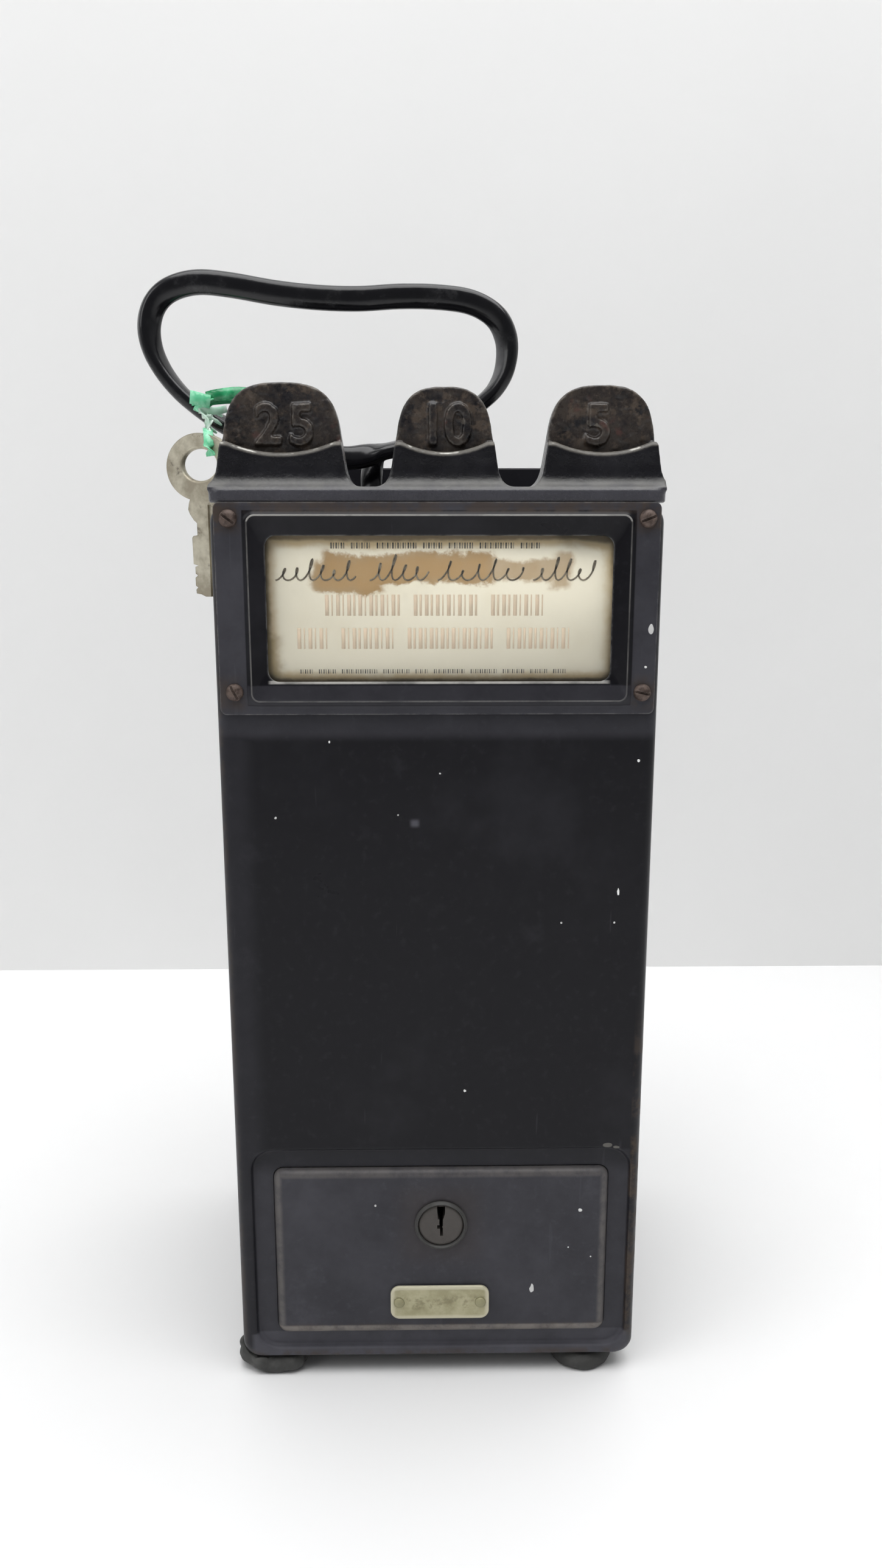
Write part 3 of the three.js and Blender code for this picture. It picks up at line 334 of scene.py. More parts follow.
class Look:
    """A Principled material being made, with short calls for its nodes."""

    def __init__(self, name):
        self.material = bpy.data.materials.new(name)
        self.material.use_nodes = True
        self.tree = self.material.node_tree
        self.shader = self.tree.nodes["Principled BSDF"]
        self.place = self.add("ShaderNodeTexCoord").outputs["Object"]
        self.axes = self.add("ShaderNodeSeparateXYZ")
        self.join(self.place, self.axes.inputs[0])

    def add(self, kind, **settings):
        node = self.tree.nodes.new(kind)
        for key, value in settings.items():
            setattr(node, key, value)
        return node

    def join(self, source, target):
        if isinstance(source, bpy.types.NodeSocket):
            self.tree.links.new(source, target)
        elif hasattr(source, "__len__") and len(source) == 3 and len(target.default_value) == 4:
            target.default_value = (*source, 1)
        else:
            target.default_value = source

    def set(self, socket, value):
        self.join(value, self.shader.inputs[socket])

    def stretched(self, by):
        mapping = self.add("ShaderNodeMapping")
        self.join(self.place, mapping.inputs["Vector"])
        mapping.inputs["Scale"].default_value = by
        return mapping.outputs[0]

    def noise(self, scale, detail=4, roughness=0.6, by=None, seed=0):
        node = self.add("ShaderNodeTexNoise", noise_dimensions="4D")
        self.join(self.stretched(by) if by else self.place, node.inputs["Vector"])
        for socket, number in (("W", seed), ("Scale", scale), ("Detail", detail), ("Roughness", roughness)):
            node.inputs[socket].default_value = number
        return node.outputs[0]

    def ramp(self, value, low, high, to_low=0.0, to_high=1.0):
        node = self.add("ShaderNodeMapRange", interpolation_type="SMOOTHSTEP")
        self.join(value, node.inputs["Value"])
        set_range(node, low, high, to_low, to_high)
        return node.outputs["Result"]

    def maths(self, operation, first, second=0.0):
        node = self.add("ShaderNodeMath", operation=operation)
        self.join(first, node.inputs[0])
        self.join(second, node.inputs[1])
        return node.outputs[0]

    def times(self, *values):
        product = values[0]
        for value in values[1:]:
            product = self.maths("MULTIPLY", product, value)
        return product

    def plus(self, first, second):
        return self.maths("ADD", first, second)

    def either(self, first, *others):
        for other in others:
            first = self.maths("MAXIMUM", first, other)
        return first

    def mix(self, share, first, second):
        node = self.add("ShaderNodeMix", data_type="RGBA")
        self.join(share, node.inputs["Factor"])
        self.join(first, node.inputs[6])
        self.join(second, node.inputs[7])
        return node.outputs[2]

    def within(self, axis, low, high, soft):
        """1 between low and high millimetres on an axis, fading over soft."""
        value = self.axes.outputs[axis]
        up = self.ramp(value, (low - soft) * MM, (low + soft) * MM)
        down = self.ramp(value, (high - soft) * MM, (high + soft) * MM, 1.0, 0.0)
        return self.times(up, down)

    def in_x(self, low, high, soft):
        return self.within(0, low, high, soft)

    def in_y(self, low, high, soft):
        return self.within(1, low, high, soft)

    def in_z(self, low, high, soft):
        return self.within(2, low, high, soft)

    def specks(self, scale, size, share, seed=0.0):
        """Small round spots in some of the cells of a grid that many to the metre."""
        node = self.add("ShaderNodeTexVoronoi", voronoi_dimensions="4D")
        self.join(self.place, node.inputs["Vector"])
        node.inputs["W"].default_value = seed
        node.inputs["Scale"].default_value = scale
        near = self.ramp(node.outputs["Distance"], size * 0.5, size, 1.0, 0.0)
        parts = self.add("ShaderNodeSeparateColor")
        self.join(node.outputs["Color"], parts.inputs[0])
        chosen = self.ramp(parts.outputs[0], share, share * 1.05, 1.0, 0.0)
        return self.times(near, chosen)

    def edges(self, radius, low=0.02, high=0.25):
        """1 at the sharp edges, 0 on flats and gentle curves."""
        bevel = self.add("ShaderNodeBevel", samples=4)
        bevel.inputs["Radius"].default_value = radius * MM
        geometry = self.add("ShaderNodeNewGeometry")
        dot = self.add("ShaderNodeVectorMath", operation="DOT_PRODUCT")
        self.join(bevel.outputs[0], dot.inputs[0])
        self.join(geometry.outputs["Normal"], dot.inputs[1])
        return self.ramp(self.maths("SUBTRACT", 1.0, dot.outputs["Value"]), low, high)

    def raised(self, low, high):
        """1 where a fine mesh is bent outwards."""
        geometry = self.add("ShaderNodeNewGeometry")
        return self.ramp(geometry.outputs["Pointiness"], low, high)

    def facing(self):
        """The surface's direction, as its parts along X, Y and Z."""
        normal = self.add("ShaderNodeSeparateXYZ")
        self.join(self.add("ShaderNodeNewGeometry").outputs["Normal"], normal.inputs[0])
        return normal.outputs

    def bump(self, height, depth):
        node = self.add("ShaderNodeBump")
        self.join(height, node.inputs["Height"])
        node.inputs["Distance"].default_value = depth * MM
        self.join(node.outputs[0], self.shader.inputs["Normal"])


BLACK = (0.0050, 0.0048, 0.0068)
DUST = (0.088, 0.087, 0.102)
BROWN = (0.060, 0.044, 0.034)
BARE = (0.24, 0.22, 0.20)
WHITE_PAINT = (0.75, 0.75, 0.74)


def enamel(name, veil=0.02, dust=0.13, dust_and_sheen_where=None, brown_where=None, bare_and_highlight_where=None, bare=BARE):
    """Old black enamel under a veil of dust, smudged and scratched, brown or bare where it is worn; the
    caller's extra dust mask may also paint sheen, and its extra bare mask may paint highlights.
    """
    look = Look(name)
    broad = look.noise(26, 5, 0.62)
    fine = look.noise(430, 4, 0.65, seed=3)
    cloud = look.noise(95, 6, 0.7, seed=11)
    smear = look.times(look.ramp(broad, 0.48, 0.74), dust)
    grain = look.times(look.ramp(fine, 0.52, 0.75), dust * 0.6)
    clouds = look.times(look.ramp(cloud, 0.55, 0.75), dust * 0.7)
    share = look.plus(look.either(smear, grain, clouds), veil)
    # The caller's dust mask can carry painted sheen as well as dust.
    if dust_and_sheen_where:
        uneven = look.ramp(cloud, 0.2, 0.7, 0.75, 1.15)
        share = look.plus(share, look.times(dust_and_sheen_where(look), uneven))
    colour = look.mix(share, BLACK, DUST)
    scratch = look.ramp(look.noise(60, 2, 0.4, by=(9, 9, 0.6), seed=5), 0.705, 0.73)
    colour = look.mix(look.times(scratch, 0.14), colour, DUST)
    worn = look.times(look.edges(0.6), look.ramp(look.noise(260, 5, 0.7, seed=2), 0.36, 0.62), 0.6)
    if brown_where:
        brown = brown_where(look)
        colour = look.mix(brown, colour, BROWN)
        share = look.either(share, brown)
    # The caller's bare mask can carry painted highlights as well as wear.
    if bare_and_highlight_where:
        worn = look.either(worn, bare_and_highlight_where(look))
    colour = look.mix(worn, colour, bare)
    colour = look.mix(look.times(look.specks(120, 0.03, 0.08), 0.7), colour, WHITE_PAINT)
    look.set("Base Color", colour)
    rough = look.plus(look.times(broad, 0.2), 0.2)
    look.set("Roughness", look.plus(rough, look.times(look.either(share, worn), 0.35)))
    look.set("Metallic", look.times(worn, 0.5))
    look.set("Specular IOR Level", 0.18)
    look.bump(look.plus(look.noise(55, 3, 0.5, seed=4), look.times(fine, 0.15)), 0.2)
    return look.material


def casting():
    """The coin head: enamel worn to brown metal on the ears and pale along the lips, with painted highlights
    on the lips' crests and along the ledge's top edge.
    """
    look = Look("worn_casting")
    patchy = look.noise(190, 8, 0.74, seed=1)
    broad = look.noise(45, 4, 0.6, seed=6)
    spread = look.noise(420, 4, 0.7, seed=2)
    faces_up = look.facing()[2]
    ear = look.times(look.in_z(230, 262, 2.0), look.in_y(-39.6, -28, 0.3))
    colour = look.mix(look.times(look.ramp(broad, 0.45, 0.75), 0.16), BLACK, DUST)
    front = look.in_y(-50, -38.5, 1.5)
    ledge = look.times(look.in_z(215, 225.7, 0.4), look.ramp(front, 0, 1, 0.2, 0.6))
    colour = look.mix(look.times(ledge, look.ramp(broad, 0.2, 0.8, 0.7, 1.1)), colour, DUST)
    brown = look.times(ear, look.ramp(patchy, 0.34, 0.6))
    colour = look.mix(look.times(brown, 0.9), colour, (0.045, 0.035, 0.028))
    pale = look.times(ear, look.ramp(look.noise(230, 6, 0.7, seed=14), 0.52, 0.62), 0.75)
    colour = look.mix(pale, colour, (0.085, 0.064, 0.048))
    reddish = look.times(ear, look.ramp(look.noise(120, 5, 0.65, seed=9), 0.58, 0.66), 0.75)
    colour = look.mix(reddish, colour, (0.085, 0.042, 0.036))
    bare = look.times(ear, look.ramp(look.noise(170, 6, 0.7, seed=3), 0.6, 0.66))
    colour = look.mix(bare, colour, (0.012, 0.012, 0.014))
    raised = look.raised(0.508, 0.56)
    worn = look.times(raised, ear, look.ramp(spread, 0.4, 0.6))
    colour = look.mix(look.times(worn, 0.6), colour, (0.19, 0.17, 0.145))
    lip = look.times(look.in_z(230.4, 235.4, 0.3), look.in_y(-42.3, -40.0, 0.25))
    lip = look.times(lip, look.ramp(faces_up, 0.12, 0.45), look.ramp(spread, 0.25, 0.6, 0.5, 1.0))
    # Painted highlight on the up-facing top of the ledge and the gauges' flared feet.
    flare = look.times(look.in_z(224.6, 227.2, 0.5), look.ramp(faces_up, 0.15, 0.75), front)
    flare = look.times(flare, look.ramp(look.noise(160, 4, 0.65, seed=12), 0.3, 0.65, 0.35, 1.0))
    colour = look.mix(look.times(flare, 0.75), colour, (0.13, 0.128, 0.118))
    colour = look.mix(look.times(lip, 0.9), colour, (0.125, 0.115, 0.098))
    # Painted highlight: a glint where the lips' rounded crests face half up.
    crest = look.times(look.ramp(faces_up, 0.52, 0.66), look.ramp(faces_up, 0.76, 0.9, 1.0, 0.0))
    painted_lip_glint = look.times(lip, crest, look.ramp(look.noise(130, 3, 0.6, seed=4), 0.52, 0.58))
    colour = look.mix(look.times(painted_lip_glint, 0.8), colour, (0.62, 0.61, 0.56))
    look.set("Base Color", colour)
    rough = look.plus(look.times(patchy, 0.34), 0.1)
    dull = look.times(lip, look.ramp(look.noise(210, 4, 0.7, seed=8), 0.4, 0.56, 1.0, 0.25))
    dull = look.either(look.times(flare, 0.3), dull)
    look.set("Roughness", look.plus(rough, look.times(dull, 0.34)))
    look.set("Metallic", look.either(look.times(worn, 0.3), look.times(painted_lip_glint, 0.3)))
    look.set("Specular IOR Level", 0.4)
    look.bump(look.plus(look.noise(260, 5, 0.65, seed=7), look.times(patchy, 0.9)), 0.22)
    return look.material


def metal(name, colour, rough, tarnish, share=0.5, grain=(1, 1, 1), metallic=1.0):
    """Plain metal with tarnish in patches and a fine grain."""
    look = Look(name)
    patch = look.ramp(look.noise(105, 6, 0.7), 0.42, 0.66)
    fine = look.noise(900, 4, 0.6, by=grain, seed=2)
    base = look.mix(look.times(fine, 0.35), colour, tuple(c * 0.6 for c in colour))
    look.set("Base Color", look.mix(look.times(patch, share), base, tarnish))
    rough = look.plus(look.times(fine, 0.15), rough)
    look.set("Roughness", look.plus(look.times(patch, 0.22), rough))
    look.set("Metallic", look.ramp(patch, 0, 1, metallic, metallic * (1 - share)))
    look.bump(fine, 0.05)
    return look.material


def rubber(name, colour, rough, lumps=0.1):
    look = Look(name)
    fine = look.noise(700, 5, 0.7)
    broad = look.noise(110, 4, 0.6, seed=4)
    dusty = look.times(look.ramp(broad, 0.45, 0.75), 0.5)
    look.set("Base Color", look.mix(dusty, colour, tuple(c * 3 + 0.01 for c in colour)))
    look.set("Roughness", look.plus(look.times(fine, 0.2), rough))
    look.bump(look.plus(broad, look.times(fine, 0.3)), lumps)
    return look.material


def jacket():
    """The cord's smooth black rubber, a little dusty, with a painted grey sheen on its left-facing sides and
    its tops, and long shallow marks.
    """
    look = Look("cord_jacket")
    marks = look.noise(190, 3, 0.5, seed=2)
    fine = look.noise(900, 3, 0.6)
    facing = look.facing()
    # Painted sheen: a grey reflection on the sides that face left and on the tops, mixed below with a little
    # dust.
    outer = look.times(look.ramp(facing[0], -0.85, -0.45, 1.0, 0.0), look.in_z(246, 277, 3))
    upper = look.times(look.ramp(facing[2], 0.72, 0.96), 0.6)
    cloud = look.noise(120, 6, 0.7, seed=5)
    dusty = look.times(look.either(outer, upper), look.ramp(cloud, 0.3, 0.65, 0.5, 1.0), 0.62)
    dusty = look.either(dusty, look.times(look.ramp(cloud, 0.52, 0.72), 0.12))
    look.set("Base Color", look.mix(dusty, (0.0045, 0.0045, 0.006), (0.20, 0.20, 0.205)))
    rough = look.plus(look.times(marks, 0.14), 0.12)
    look.set("Roughness", look.plus(look.times(dusty, 0.3), rough))
    look.set("Specular IOR Level", 0.45)
    look.bump(look.plus(marks, look.times(fine, 0.1)), 0.10)
    return look.material


def paper():
    """Aged card: cream, browned at its rim, with a long brown stain across its upper part."""
    look = Look("card_stock")
    fibre = look.noise(900, 6, 0.7)
    mottle = look.noise(60, 6, 0.65, seed=3)
    rough_edge = look.maths("SUBTRACT", look.noise(150, 6, 0.72, seed=7), 0.5)
    drift = look.maths("SUBTRACT", look.noise(45, 3, 0.5, seed=9), 0.5)

    def span(axis, low, high, soft, ragged):
        wander = look.plus(look.times(rough_edge, ragged * MM), look.times(drift, ragged * MM))
        value = look.plus(look.axes.outputs[axis], wander)
        up = look.ramp(value, (low - soft) * MM, (low + soft) * MM)
        return look.times(up, look.ramp(value, (high - soft) * MM, (high + soft) * MM, 1.0, 0.0))

    def patch(x0, x1, z0, z1, soft, ragged=7.0):
        return look.times(span(0, x0, x1, soft * 1.5, ragged), span(2, z0, z1, soft, ragged))

    colour = look.mix(look.times(fibre, 0.25), (0.95, 0.895, 0.72), (0.90, 0.83, 0.64))
    colour = look.mix(look.ramp(mottle, 0.45, 0.75, 0, 0.25), colour, (0.76, 0.66, 0.45))
    wide = look.either(patch(-28, -12, 202.2, 208.8, 0.7), patch(-26, 13, 204.2, 211.2, 0.6))
    inner = look.either(patch(-26.6, -13, 203.4, 207.8, 1.0), patch(-24.6, 11.6, 205.2, 210.1, 1.0))
    tail = look.either(patch(10, 30, 204.8, 209.2, 0.6, 5.0), patch(26, 30, 203.4, 210.4, 0.8, 5.0))
    stain = look.either(wide, look.times(tail, 0.85))
    colour = look.mix(look.times(stain, look.ramp(mottle, 0.25, 0.65, 0.78, 1.0)), colour, (0.40, 0.25, 0.10))
    colour = look.mix(look.times(inner, 0.75), colour, (0.475, 0.30, 0.125))
    middle = patch(-36.9, 38.2, 183.7, 212.2, 1.0, 3.6)
    rim = look.maths("SUBTRACT", 1.0, middle)
    colour = look.mix(look.times(rim, 0.8), colour, (0.62, 0.45, 0.20))
    outer = look.maths("SUBTRACT", 1.0, patch(-38.0, 39.5, 182.4, 213.6, 0.45, 2.2))
    colour = look.mix(look.times(outer, 0.8), colour, (0.15, 0.10, 0.05))
    corner = patch(-42, -36.6, 178, 192, 1.2, 6.0)
    colour = look.mix(look.times(corner, 0.5), colour, (0.30, 0.22, 0.08))
    colour = look.mix(look.specks(260, 0.07, 0.12, 4.0), colour, (0.20, 0.14, 0.08))
    look.set("Base Color", colour)
    look.set("Roughness", look.ramp(fibre, 0.2, 0.8, 0.72, 0.9))
    look.bump(look.plus(fibre, mottle), 0.05)
    return look.material


def ink(name, colour, fade):
    """Print or pencil that has worn unevenly."""
    look = Look(name)
    worn = look.ramp(look.noise(520, 4, 0.7), 0.35, 0.7)
    look.set("Base Color", look.mix(look.times(worn, fade), colour, (0.70, 0.62, 0.46)))
    look.set("Roughness", look.ramp(worn, 0, 1, 0.6, 0.85))
    return look.material


def clear_pane():
    """A thin clear pane, dusty in its corners: it lets the card's light straight through."""
    look = Look("clear_pane")
    dust = look.ramp(look.noise(90, 6, 0.7), 0.55, 0.85, 0.0, 0.06)
    look.set("Base Color", look.mix(dust, (0.8, 0.8, 0.76), (0.7, 0.68, 0.6)))
    look.set("Roughness", look.ramp(dust, 0.0, 0.06, 0.04, 0.25))
    look.set("Alpha", look.plus(dust, 0.02))
    return look.material


def plastic_tie(name, light, dark, folded, share):
    """Thin plastic strip, paler where it is folded."""
    look = Look(name)
    pale = look.ramp(look.noise(360, 4, 0.6, seed=3), 0.46, 0.64)
    deep = look.ramp(look.noise(150, 3, 0.5, seed=1), 0.38, 0.58)
    base = look.mix(deep, dark, light)
    look.set("Base Color", look.mix(look.times(pale, share), base, folded))
    look.set("Roughness", look.ramp(pale, 0, 1, 0.2, 0.35))
    look.set("Subsurface Weight", 0.12)
    look.set("Subsurface Radius", (0.002, 0.003, 0.002))
    look.bump(look.noise(500, 3, 0.5, seed=6), 0.08)
    return look.material


def key_metal():
    """Worn nickel plate: grey-beige, dark where the plate has gone."""
    look = Look("key_metal")
    patch = look.noise(260, 7, 0.7)
    fine = look.noise(1500, 4, 0.6, seed=2)
    gone = look.ramp(patch, 0.58, 0.68)
    cloud = look.ramp(look.noise(150, 4, 0.65, seed=4), 0.35, 0.65)
    base = look.mix(cloud, (0.62, 0.58, 0.465), (0.37, 0.33, 0.25))
    colour = look.mix(look.times(gone, 0.8), base, (0.05, 0.038, 0.028))
    rim = look.times(look.edges(0.5), look.ramp(look.noise(90, 3, 0.5, seed=8), 0.4, 0.55))
    look.set("Base Color", look.mix(look.times(rim, 0.7), colour, (0.15, 0.125, 0.09)))
    rough = look.plus(look.times(gone, 0.2), 0.36)
    look.set("Roughness", look.plus(look.times(fine, 0.2), rough))
    look.set("Metallic", look.ramp(gone, 0, 1, 0.6, 0.15))
    look.bump(look.plus(patch, look.times(fine, 0.4)), 0.12)
    return look.material


def rusty_screw():
    look = Look("rusty_steel")
    patch = look.noise(700, 7, 0.75)
    base = look.mix(look.ramp(patch, 0.38, 0.62), (0.055, 0.038, 0.032), (0.125, 0.088, 0.072))
    colour = look.mix(look.times(look.edges(0.3), look.ramp(patch, 0.4, 0.6), 0.6), base, (0.34, 0.29, 0.26))
    look.set("Base Color", colour)
    look.set("Roughness", look.ramp(patch, 0.3, 0.7, 0.35, 0.7))
    look.set("Metallic", look.ramp(patch, 0.35, 0.65, 0.65, 0.2))
    look.bump(patch, 0.12)
    return look.material


def number_metal():
    look = Look("plate_metal")
    cloud = look.noise(220, 6, 0.65)
    rim = look.edges(0.9, 0.01, 0.15)
    dark = look.times(look.ramp(look.noise(400, 5, 0.7, seed=5), 0.47, 0.6), look.in_z(20.2, 24.2, 0.7))
    face = look.times(look.in_x(-11.2, 12.0, 0.6), look.in_z(18.6, 26.0, 0.5))
    base = look.mix(look.ramp(cloud, 0.35, 0.65), (0.45, 0.42, 0.27), (0.35, 0.325, 0.195))
    colour = look.mix(look.times(dark, 0.5), base, (0.15, 0.135, 0.07))
    colour = look.mix(look.ramp(face, 0, 1, 0.75, 0.0), colour, (0.60, 0.565, 0.42))
    # Painted highlight along the plate's edges.
    look.set("Base Color", look.mix(look.times(rim, 0.7), colour, (0.70, 0.67, 0.54)))
    look.set("Roughness", look.ramp(cloud, 0.3, 0.7, 0.36, 0.55))
    look.set("Metallic", 0.35)
    look.bump(look.noise(600, 4, 0.6, seed=2), 0.08)
    return look.material


def stage_look(name, colour, rough):
    look = Look(name)
    cloud = look.noise(9, 4, 0.5)
    look.set("Base Color", look.mix(look.ramp(cloud, 0.3, 0.7), colour, tuple(c * 0.985 for c in colour)))
    look.set("Roughness", rough)
    return look


# ---------- camera, light and stage ----------

def make_camera():
    data = bpy.data.cameras.new("camera")
    data.sensor_width = 36
    data.lens = CAMERA["focal_pixels"] / max(IMAGE) * data.sensor_width
    data.clip_start, data.clip_end = 0.01, 20
    camera = bpy.data.objects.new("camera", data)
    SCENE.collection.objects.link(camera)
    camera.location = Vector(CAMERA["at"]) * MM
    camera.rotation_euler = (math.radians(90 - CAMERA["down"]), 0, math.radians(CAMERA["turn"]))
    SCENE.camera = camera


def area_light(name, at, target, size, power, colour=(1, 1, 1)):
    data = bpy.data.lights.new(name, "AREA")
    data.shape = "RECTANGLE"
    data.size, data.size_y = size
    data.energy = power
    data.color = colour
    light = bpy.data.objects.new(name, data)
    SCENE.collection.objects.link(light)
    light.location = at
    light.rotation_euler = (Vector(target) - Vector(at)).to_track_quat("-Z", "Y").to_euler()


def make_stage():
    far, high = 2500, 1200
    square = [(-far, -far), (far, -far), (far, far), (-far, far)]
    floor = mesh_piece("floor", at_z(square, 0), [(0, 1, 2, 3)])
    floor.data.materials.append(stage_look("floor", (0.86, 0.86, 0.86), 0.6).material)
    wall = mesh_piece("wall", at_y([(-far, 0), (far, 0), (far, high), (-far, high)], WALL_Y), [(0, 1, 2, 3)])
    look = stage_look("wall", (0.85, 0.85, 0.845), 0.7)
    clear = look.add("ShaderNodeBsdfTransparent")
    side = look.add("ShaderNodeMixShader")
    look.join(look.add("ShaderNodeNewGeometry").outputs["Backfacing"], side.inputs[0])
    look.join(look.shader.outputs[0], side.inputs[1])
    look.join(clear.outputs[0], side.inputs[2])
    look.join(side.outputs[0], look.tree.nodes["Material Output"].inputs["Surface"])
    wall.data.materials.append(look.material)
    if wall.data.polygons[0].normal.y > 0:
        wall.data.flip_normals()


def make_light():
    """A pale room, dimmer towards the front, with broad soft lights above."""
    world = bpy.data.worlds.new("room")
    world.use_nodes = True
    tree = world.node_tree
    background = tree.nodes["Background"]
    direction = tree.nodes.new("ShaderNodeSeparateXYZ")
    tree.links.new(tree.nodes.new("ShaderNodeTexCoord").outputs["Generated"], direction.inputs[0])
    shade = tree.nodes.new("ShaderNodeMapRange")
    tree.links.new(direction.outputs[1], shade.inputs["Value"])
    set_range(shade, -0.8, 0.3, 0.17, 0.58)
    tree.links.new(shade.outputs["Result"], background.inputs["Strength"])
    background.inputs["Color"].default_value = (0.97, 0.98, 1.0, 1)
    SCENE.world = world
    area_light("ceiling", (0.1, -0.22, 1.25), (0, 0.05, 0.1), (1.3, 0.9), 14.8)
    area_light("window_side", (-1.0, -0.6, 0.9), (0, 0, 0.15), (0.6, 0.8), 3.4)
    area_light("behind", (0.1, 1.0, 1.1), (0, 0, 0.1), (0.45, 0.25), 9)
    SCENE.view_settings.view_transform = "Standard"


make_camera()
make_stage()
make_light()

LOOKS = {
    "jacket": jacket(),
    "casting": casting(),
    "steel": metal("steel", (0.42, 0.41, 0.39), 0.3, (0.12, 0.09, 0.07), 0.35, grain=(1, 1, 12)),
    "brass": metal("brass", (0.52, 0.39, 0.17), 0.24, (0.16, 0.10, 0.05), 0.45),
    "lock": metal("lock_metal", (0.058, 0.057, 0.055), 0.45, (0.036, 0.034, 0.031), metallic=0.15),
    "plug": metal("plug_metal", (0.070, 0.062, 0.056), 0.42, (0.040, 0.034, 0.030), metallic=0.2),
    "rivet": metal("rivet_metal", (0.34, 0.32, 0.19), 0.4, (0.16, 0.145, 0.075), 0.55, metallic=0.3),
    "screw": rusty_screw(),
    "rubber": rubber("rubber", (0.034, 0.034, 0.032), 0.62, 0.3),
    "paper": paper(),
    "print": ink("print_ink", (0.045, 0.04, 0.035), 0.35),
    "ghost": ink("faded_print", (0.83, 0.66, 0.48), 0.5),
    "pencil": ink("pencil", (0.085, 0.065, 0.04), 0.4),
    "pane": clear_pane(),
    "tie": plastic_tie("tie_plastic", (0.24, 0.76, 0.46), (0.11, 0.6, 0.3), (0.55, 0.88, 0.68), 0.4),
    "tie_dark": plastic_tie("tie_plastic_dark", (0.06, 0.5, 0.22), (0.01, 0.22, 0.08), (0.3, 0.7, 0.45), 0.2),
    "tie_pale": plastic_tie("tie_plastic_pale", (0.62, 0.8, 0.68), (0.42, 0.7, 0.53), (0.86, 0.93, 0.88),
                            0.7),
    "key": key_metal(),
    "plate": number_metal(),
    "speck": rubber("dried_paint", (0.62, 0.62, 0.61), 0.5),
    "chip": rubber("paint_chip", (0.10, 0.095, 0.085), 0.6),
}


def casing_dust_and_sheen(look):
    """The front is duller with dust round the vault and in a smudge; so are all corners. The band under the
    window is a painted sheen, and the strip by the left edge a painted highlight.
    """
    height = look.axes.outputs[2]
    vault = look.times(look.in_x(-46.5, 48.1, 0.5), look.in_z(7.6, 64.4, 0.5))
    vault = look.times(vault, look.ramp(height, 61 * MM, 56 * MM, 0.16, 0.4))
    sill = look.times(look.in_x(-48, 49.5, 1), look.in_z(4, 12.4, 0.5), 0.75)
    # Painted sheen: a lighter band under the window, where the front catches a reflection.
    band = look.times(look.in_z(169.2, 175, 1.4), 0.3)
    smudge = look.times(look.in_x(-6.3, -4.5, 0.6), look.in_z(147.9, 149.5, 0.6))
    # Painted highlight down the front by the left edge.
    left = look.times(look.in_x(-52, -44, 2.5), 0.12)
    front = look.in_y(-48, -42.4, 0.6)
    corners = look.times(look.edges(1.5), 0.2)
    return look.either(look.times(look.either(vault, sill, band, smudge, left), front), corners)


def casing_rust(look):
    """Brown wear down the right and left edges, at the front and the rear, and round the foot."""
    ragged = look.noise(150, 6, 0.72, seed=12)
    right = look.times(look.in_x(48.2, 53, 0.4), look.in_z(6, 92, 12), 1.25)
    left = look.times(look.in_x(-53, -49.4, 0.4), look.in_z(6, 200, 10), 0.5)
    foot = look.times(look.in_z(4, 7.4, 0.8), 0.8)
    near_edges = look.either(look.in_y(-48, -41.6, 0.8), look.in_y(43.6, 48, 0.5))
    seams = look.times(look.either(right, left), near_edges)
    return look.times(look.either(seams, foot), look.ramp(ragged, 0.42, 0.6), 0.8)


def frame_rust(look):
    """Browning round the window's screws and along its upper edge."""
    ragged = look.noise(150, 5, 0.7, seed=12)
    ends = look.either(look.in_x(-52, -43.8, 1.2), look.in_x(44.4, 52, 1.2))
    high = look.in_z(215.5, 223, 1.5)
    low = look.times(look.in_z(176, 183, 1.5), 0.7)
    top = look.times(look.in_z(219.6, 223, 0.6), 0.8)
    where = look.either(look.times(ends, look.either(high, low)), top)
    return look.times(where, look.ramp(ragged, 0.36, 0.58), 0.85)


def frame_dust(look):
    """The flat border is dusty; the raised ring is wiped black, and the lower slope of its foot is made
    lighter.
    """
    y = look.in_y(-45.75, -44, 0.08)
    w = WINDOW
    reach = w["ring_half"] + 0.9
    ring = look.times(look.in_x(w["x"] - reach, w["x"] + reach, 0.2),
                      look.in_z(w["ring_bottom"] - 0.9, w["ring_top"] + 0.9, 0.2))
    low = look.times(ring, look.in_z(w["ring_bottom"] - 0.9, w["open_bottom"] - 0.8, 0.3), 0.26)
    return look.either(look.times(y, look.ramp(ring, 0, 1, 0.45, 0.0)), low)


def frame_painted_highlight(look):
    """Painted highlights: light lines along the ring's crest, strongest along its top where it faces up, and
    along the opening's lower lip, which faces up.
    """
    w = WINDOW
    crest = look.in_y(w["crest"] - 1, w["crest"] + 0.05, 0.03)
    top = look.in_z(w["ring_top"] - 1.5, w["ring_top"] + 1, 0.2)
    patchy = look.ramp(look.noise(140, 4, 0.6, seed=15), 0.35, 0.6, 0.45, 1.0)
    # Painted highlight along the crest, stronger along the top.
    line = look.times(crest, look.ramp(top, 0, 1, 0.3, 1.6), patchy)
    # Painted highlight along the opening's up-facing lower lip.
    lip = look.times(look.in_z(w["open_bottom"] - 0.5, w["open_bottom"] + 0.25, 0.1),
                     look.in_x(-38.2, 39, 0.5), look.in_y(-45.6, -44.6, 0.1), patchy)
    return look.either(line, lip)


def door_dust(look):
    return look.times(look.in_z(11, 60, 0.5), 0.42)


def door_rust(look):
    ragged = look.noise(170, 5, 0.72, seed=14)
    lock = look.times(look.in_x(-9, 10.4, 4), look.in_z(34, 54, 4), 0.25)
    return look.either(lock, look.times(look.in_z(11, 15.6, 0.8), look.ramp(ragged, 0.42, 0.58), 0.5))


